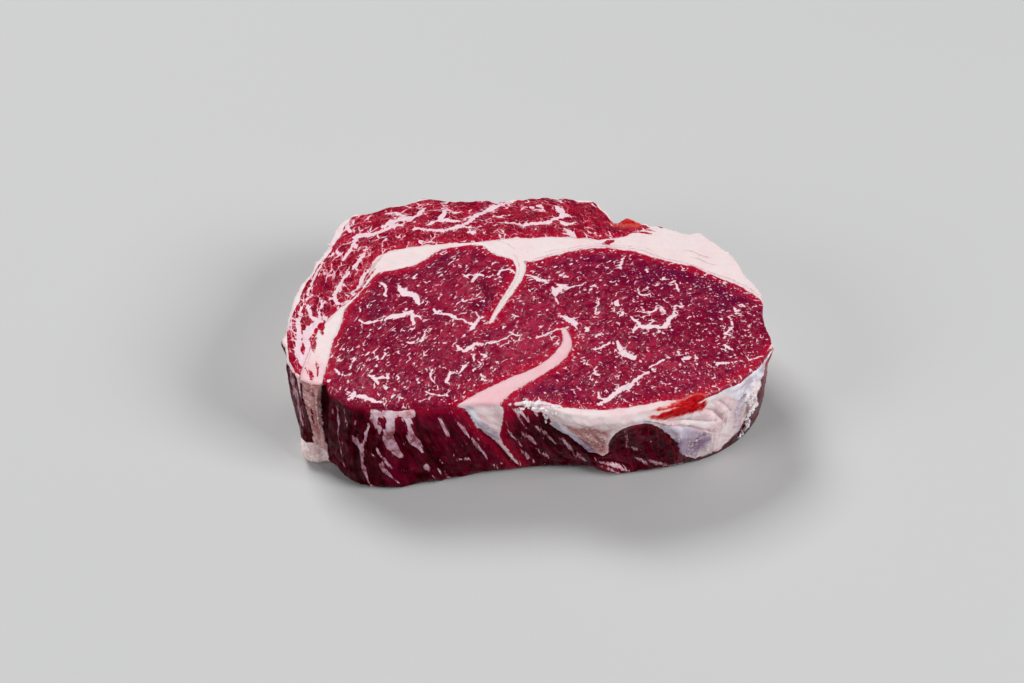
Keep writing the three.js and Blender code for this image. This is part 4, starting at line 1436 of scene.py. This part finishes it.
@dataclass(frozen=True)
class TissueFinish:
    """How a tissue looks: the colours of its lean and fat, how it is marbled, and how moist it is."""

    pale: Triple = (0.38, 0.018, 0.058)
    deep: Triple = (0.19, 0.0008, 0.022)
    violet: Triple = (0.11, 0.0008, 0.034)
    crimson: Triple = (0.44, 0.001, 0.026)
    # The lean low on the side: its own dark red and painted shade together.
    dark: Triple = (0.022, 0.0002, 0.001)
    margin: Triple = (0.5, 0.115, 0.16)
    cream: Triple = (0.8, 0.68, 0.68)
    blush: Triple = (0.78, 0.4, 0.44)
    vein: Triple = (0.8, 0.62, 0.68)
    pinkness: float = 0.3
    flecks: float = 1.0
    twigs: float = 1.0
    net: float = 0.0
    softness: float = 0.0005
    coat: float = 0.0

    def material(self, name: str, groups: Groups) -> bpy.types.Material:
        """Builds the material.

        Args:
            name: the material's name.
            groups: the shared node groups.

        Returns:
            The finished material.
        """
        made = new_material(name)
        b = Bench(made.node_tree)
        seam, vein, rind = b.split(b.layer("marble"))
        tone, bloom, stain = b.split(b.layer("tint"))
        film, side, tan = b.split(b.layer("cover"))
        membrane, slit, gloom = b.split(b.layer("detail"))
        rose, rich, crease = b.split(b.layer("cast"))
        torn, _, _ = b.split(b.layer("wear"))
        place, grain = b.place(), b.layer("grain")
        grain = b.mix(b.step(side, 0.4, 0.6), grain, b.stretch(grain, 2.2, 0.6, 0.9), "VECTOR")

        marbling = groups.marbling.use(
            b, Grain=grain, Vein=vein, Side=side, Rich=rich,
            Flecks=self.flecks, Twigs=self.twigs, Net=self.net,
        )
        streaks, bundle = marbling["Fat"], marbling["Bundle"]
        # On the side the crimson comes in just under the upper rim, where the painted shade is light.
        rim = b.most(b.step(seam, -4.2, -0.8) * 0.85, side * b.blend(b.step(gloom, 0.6, 0.2), 0.0, 0.65))
        lean = groups.lean.use(
            b, Grain=grain, Bundle=bundle, Lot=marbling["Lot"], Tone=tone, Bloom=bloom, Gloom=gloom, Rim=rim,
            Pale=self.pale, Deep=self.deep, Violet=self.violet, Crimson=self.crimson, Dark=self.dark,
        )
        fat = groups.fat.use(
            b, Place=place, Cream=self.cream, Blush=self.blush, Rose=rose, Pinkness=self.pinkness, Film=film,
            Tan=tan, Side=side, Membrane=membrane, Torn=torn,
        )
        unrest = b.noise(place, 0.7, 4.0, 0.65) - 0.5
        body = b.step(seam + unrest * b.blend(side, 1.3, 1.8), -0.35, 0.3)
        cover = b.step(rind + unrest * 0.6, 0.3, 0.65)
        solid_fat = b.most(body, cover) * (1.0 - b.step(slit + unrest * 1.8, -0.2, 0.3))
        all_fat = b.most(solid_fat, streaks)

        patchy = b.step(b.noise(place, 0.35, 4.0, 0.65), 0.35, 0.65)
        # On the side the veins and the lean's margin are painted darker lower down: painted shade.
        shaded_side_vein = b.mix(gloom, (0.8, 0.36, 0.4), (0.22, 0.045, 0.06))
        deep_vein = b.mix(patchy, shaded_side_vein, b.mix(gloom, (1.0, 0.86, 0.94), (0.6, 0.38, 0.48)))
        margin = b.mix(gloom, self.margin, (0.17, 0.008, 0.025))
        # The lean is painted near black in the front's creases: painted shade.
        meat = b.mix(crease * 0.7, lean["Color"], (0.02, 0.0005, 0.002))
        colour = b.fade(streaks, meat, margin, b.mix(side, self.vein, deep_vein))
        colour = b.fade(solid_fat, colour, margin, fat["Color"])
        blood = stain + (b.noise(place, 0.45, 5.0, 0.7) - 0.5) * b.step(stain, 0.0, 0.3) * 1.9
        colour = b.mix(b.step(blood, 0.0, 0.6), colour, b.mix(0.8, colour, (0.76, 0.12, 0.09)))
        soaked = b.step(blood, 0.3, 1.0)
        clot = b.mix(b.step(b.noise(place, 0.8), 0.4, 0.6), (0.34, 0.0005, 0.006), (0.6, 0.002, 0.006))
        height = b.blend(all_fat, lean["Height"] + bundle * (1.5 + 3.5 * self.net), fat["Height"] + 0.35)

        wet = b.step(b.noise(place, 0.25, 3.0, 0.6), 0.35, 0.65)
        shine = b.blend(side, b.blend(wet, 0.16, 0.02), b.blend(wet, 0.05, 0.0))
        b.surface({
            "Base Color": b.mix(soaked, colour, clot),
            "Roughness": b.blend(all_fat, b.blend(wet, 0.17, 0.4), 0.42),
            "Normal": b.add("ShaderNodeBump", {"Strength": 0.7, "Distance": 0.3 * MM, "Height": height}),
            "Subsurface Weight": 0.3,
            "Subsurface Scale": self.softness,
            "Subsurface Radius": (1.0, 0.35, 0.25),
            "Specular IOR Level": b.blend(
                b.math("SUBTRACT", all_fat, soaked, clamp=True), shine, b.blend(side, 0.2, 0.1)
            ),
            "Coat Weight": b.blend(soaked, self.coat, 0.0),
            "Coat Roughness": 0.22,
        })
        return made


def shred_material() -> bpy.types.Material:
    """The moist white of torn fat."""
    made = new_material("shreds")
    b = Bench(made.node_tree)
    patchy = b.step(b.noise(b.place(), 0.5, 3.0), 0.45, 0.75)
    b.surface({
        "Base Color": b.mix(patchy, (0.98, 0.9, 0.92), (0.94, 0.72, 0.76)),
        "Roughness": 0.4,
        "Subsurface Weight": 0.4,
        "Subsurface Scale": 0.0008,
        "Subsurface Radius": (1.0, 0.5, 0.4),
        "Specular IOR Level": 0.3,
    })
    return made


# ---- Shreds


class ShredTree(Group):
    """The geometry nodes that scatter lumpy shreds of fat along a path."""

    def __init__(self) -> None:
        """Builds the tree."""
        inputs = {"Geometry": "Path", "Float": "Spacing Size Scatter", "Int": "Seed", "Material": "Finish"}
        super().__init__("shreds", inputs, {"Geometry": "Shreds"}, "Geometry")
        b, given = self.bench, self.given
        path = b.add("GeometryNodeMeshToCurve", {"Mesh": given["Path"]})
        feeds = {"Curve": path, "Length": given["Spacing"]}
        points = b.add("GeometryNodeCurveToPoints", feeds, mode="LENGTH")
        spread = self.scaled(self.random((-1, -1, -1), (1, 1, 1), 1), given["Scatter"])
        copies = b.add("GeometryNodeInstanceOnPoints", {
            "Points": b.add("GeometryNodeSetPosition", {"Geometry": points, "Offset": spread}),
            "Instance": b.add("GeometryNodeMeshIcoSphere", {"Radius": 1.0, "Subdivisions": 2}),
            "Rotation": self.random((0, 0, 0), (6.3, 6.3, 6.3), 2),
            "Scale": self.scaled(self.random((0.4, 0.2, 0.5), (1.2, 0.5, 1.5), 3), given["Size"]),
        })
        real = b.add("GeometryNodeRealizeInstances", {"Geometry": copies})
        rough = b.noise(b.add("GeometryNodeInputPosition"), 1 / MM, 4.0)["Color"]
        push = self.scaled(b.vector("SUBTRACT", rough, (0.5, 0.5, 0.5)), given["Size"] * 1.3)
        torn = b.add("GeometryNodeSetPosition", {"Geometry": real, "Offset": push})
        self.give(Shreds=b.add("GeometryNodeSetMaterial", {"Geometry": torn, "Material": given["Finish"]}))

    def scaled(self, vector: Value, factor: Value) -> Value:
        """A vector multiplied by a value."""
        return self.bench.add("ShaderNodeVectorMath", {0: vector, "Scale": factor}, operation="SCALE")

    def random(self, low: Triple, high: Triple, salt: float) -> Value:
        """A random vector for each shred."""
        feeds = {0: low, 1: high, "Seed": self.given["Seed"] + salt}
        return self.bench.add("FunctionNodeRandomValue", feeds, data_type="FLOAT_VECTOR")

    def grow(self, name: str, path: Array, **values: object) -> Piece:
        """Scatters shreds along a path.

        Args:
            name: the new piece's name.
            path: points along the path, in the frame.
            values: the tree's other inputs, by their names.

        Returns:
            The shreds as one mesh.
        """
        piece = new_mesh(name, path, [], [(i, i + 1) for i in range(len(path) - 1)])
        modifier = piece.modifiers.new("shreds", "NODES")
        modifier.node_group = self.tree
        for label, value in values.items():
            modifier[self.ids[label]] = value
        return carry_out(piece)


@dataclass(frozen=True)
class Fringe:
    """A torn edge of fat: how its shreds lie, and its path over the skin, in tenths of a millimetre."""

    spacing: float
    size: float
    scatter: float
    seed: int
    path: tuple[float, ...]


FRINGES = {
    "right_tear": Fringe(0.14, 1.0, 1.5, 1, (774, -370, 300, 798, -344, 266, 812, -324, 220, 810, -314, 176)),
    "right_tail": Fringe(0.5, 0.8, 0.9, 2, (810, -310, 170, 808, -300, 110, 808, -298, 80, 790, -299, 36)),
    "rib_lip": Fringe(0.3, 0.9, 1.0, 3, (40, -499, 380, 90, -504, 380, 120, -512, 380, 156, -520, 376)),
    "wing_tip": Fringe(0.5, 0.6, 0.8, 4, (110, -502, 344, 114, -497, 310)),
    "back_right": Fringe(0.8, 0.9, 0.8, 5, (
        500, 392, 378, 560, 376, 378, 620, 354, 378, 680, 334, 376, 730, 290, 376, 770, 246, 376,
    )),
    "left": Fringe(1.4, 0.8, 0.6, 7, (
        -600, 436, 376, -626, 360, 378, -658, 270, 378, -688, 180, 378, -718, 90, 378, -742, 0, 378,
    )),
}

# ---- The studio


@dataclass(frozen=True)
class Studio:
    """The floor, the lights and the camera."""

    elevation: float = 43.0  # of the camera, in degrees
    distance: float = 0.7  # of the camera from what it looks at, in metres
    look_height: float = 0.02  # of what it looks at
    lens: float = 70.0
    sensor: float = 36.0
    floor_tone: float = 0.55
    room_colour: Triple = (0.9, 0.95, 1.0)
    room_light: float = 0.08

    def floor(self) -> None:
        """Lays the plain floor."""
        half = 3.0
        points = np.array([[-half, -half, 0], [half, -half, 0], [half, half, 0], [-half, half, 0]])
        piece = new_mesh("floor", points, [[0, 1, 2, 3]])
        paint = new_material("floor")
        Bench(paint.node_tree).surface({"Base Color": (self.floor_tone,) * 3, "Roughness": 0.9})
        piece.data.materials.append(paint)

    def lamp(self, name: str, place: Triple, size: float, power: float) -> None:
        """Hangs a soft square lamp that looks at the steak."""
        light = bpy.data.lights.new(name, "AREA")
        light.size = size
        light.energy = power
        lamp = linked(name, light)
        lamp.location = place
        lamp.rotation_euler = Vector(place).to_track_quat("Z", "Y").to_euler()

    def light(self) -> None:
        """Hangs the lamps and sets the room's own light."""
        self.lamp("key", (-0.85, 1.17, 1.9), 0.9, 37.0)
        self.lamp("fill", (1.6, -0.8, 1.3), 1.0, 36.0)
        self.lamp("left_fill", (-1.5, -0.9, 0.9), 0.8, 12.0)
        world = bpy.data.worlds.new("room")
        world.use_nodes = True
        room = world.node_tree.nodes["Background"].inputs
        room["Color"].default_value = (*self.room_colour, 1)
        room["Strength"].default_value = self.room_light
        bpy.context.scene.world = world

    def camera(self) -> None:
        """Sets up the camera."""
        lens = bpy.data.cameras.new("camera")
        lens.lens, lens.sensor_width = self.lens, self.sensor
        camera = linked("camera", lens)
        turn = math.radians(self.elevation)
        back = Vector((0, -math.cos(turn), math.sin(turn)))
        camera.location = Vector((-MIDDLE[0] * MM, -MIDDLE[1] * MM, self.look_height)) + back * self.distance
        camera.rotation_euler = back.to_track_quat("Z", "Y").to_euler()
        bpy.context.scene.camera = camera

    def build(self) -> None:
        """Sets the whole studio up."""
        self.floor()
        self.light()
        self.camera()
        bpy.context.scene.view_settings.view_transform = "Standard"


# ---- The steak

CREASE_ANGLE = math.radians(50)  # faces that meet at more than this keep a sharp edge
PATH_STEPS = 40  # along each torn edge
CAP_COLOURS = {
    "pale": (0.5, 0.009, 0.045),
    "deep": (0.25, 0.0008, 0.014),
    "margin": (0.58, 0.05, 0.1),
    "vein": (0.78, 0.58, 0.64),
}
FINISHES = {
    Tissue.EYE: TissueFinish(),
    Tissue.CAP: TissueFinish(net=1.0, flecks=0.6, twigs=0.3, **CAP_COLOURS),
    Tissue.SEAM: TissueFinish(softness=0.001, pinkness=0.2),
    Tissue.BLADE: TissueFinish(softness=0.001, pinkness=0.4, cream=(0.78, 0.58, 0.61)),
    Tissue.RIB_FAT: TissueFinish(softness=0.001, coat=0.3, pinkness=0.4),
    Tissue.RIB_MEAT: TissueFinish(flecks=0.6),
}


def in_frame(points: Array) -> Array:
    """Points in the frame, from points in the outline's coordinates."""
    return (points - MIDDLE) * MM


@dataclass
class Steak:
    """The steak: its skin, its tissues and their finishes."""

    skin: Skin = field(default_factory=Skin)

    def finish(self, tissue: Tissue, piece: Piece, groups: Groups) -> None:
        """Dresses one tissue, moves it into the frame, puts it on the root body and hides the solid it stands
        for.
        """
        mesh = piece.data
        points = mesh_points(mesh)
        SurfaceMap(points, tissue is Tissue.CAP).write(mesh)
        mesh.vertices.foreach_set("co", in_frame(points).astype(np.float32).ravel())
        mesh.shade_smooth()
        mesh.set_sharp_from_angle(angle=CREASE_ANGLE)
        mesh.materials.append(FINISHES[tissue].material(tissue.value, groups))
        mesh.update()
        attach(piece, "root")
        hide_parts(tissue.value)

    def shreds(self) -> None:
        """Scatters the shreds of every torn edge."""
        tree = ShredTree()
        paint = shred_material()
        for name, fringe in FRINGES.items():
            path = in_frame(curve_points(*tenths(3, fringe.path), np.linspace(0, 1, PATH_STEPS))[0])
            sizes = {"Spacing": fringe.spacing * MM, "Size": fringe.size * MM, "Scatter": fringe.scatter * MM}
            piece = tree.grow(name + "_shreds", path, Finish=paint, Seed=fringe.seed, **sizes)
            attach(piece, "root")
            log.info("%s: %d faces", piece.name, len(piece.data.polygons))

    def build(self) -> None:
        """Builds every part of the steak."""
        self.skin.build()
        log.info("skin: %d faces", len(self.skin.faces))
        groups = Groups(marbling_group(), lean_group(), fat_group())
        self.shreds()
        for tissue, piece in Carcass(self.skin).pieces().items():
            self.finish(tissue, piece, groups)
            triangles = sum(len(face.vertices) - 2 for face in piece.data.polygons)
            log.info("%s: %d triangles", piece.name, triangles)


def main() -> None:
    """Builds the studio and the steak; the steak logs how large its pieces are."""
    Studio().build()
    Steak().build()


if __name__ == "__main__":
    main()
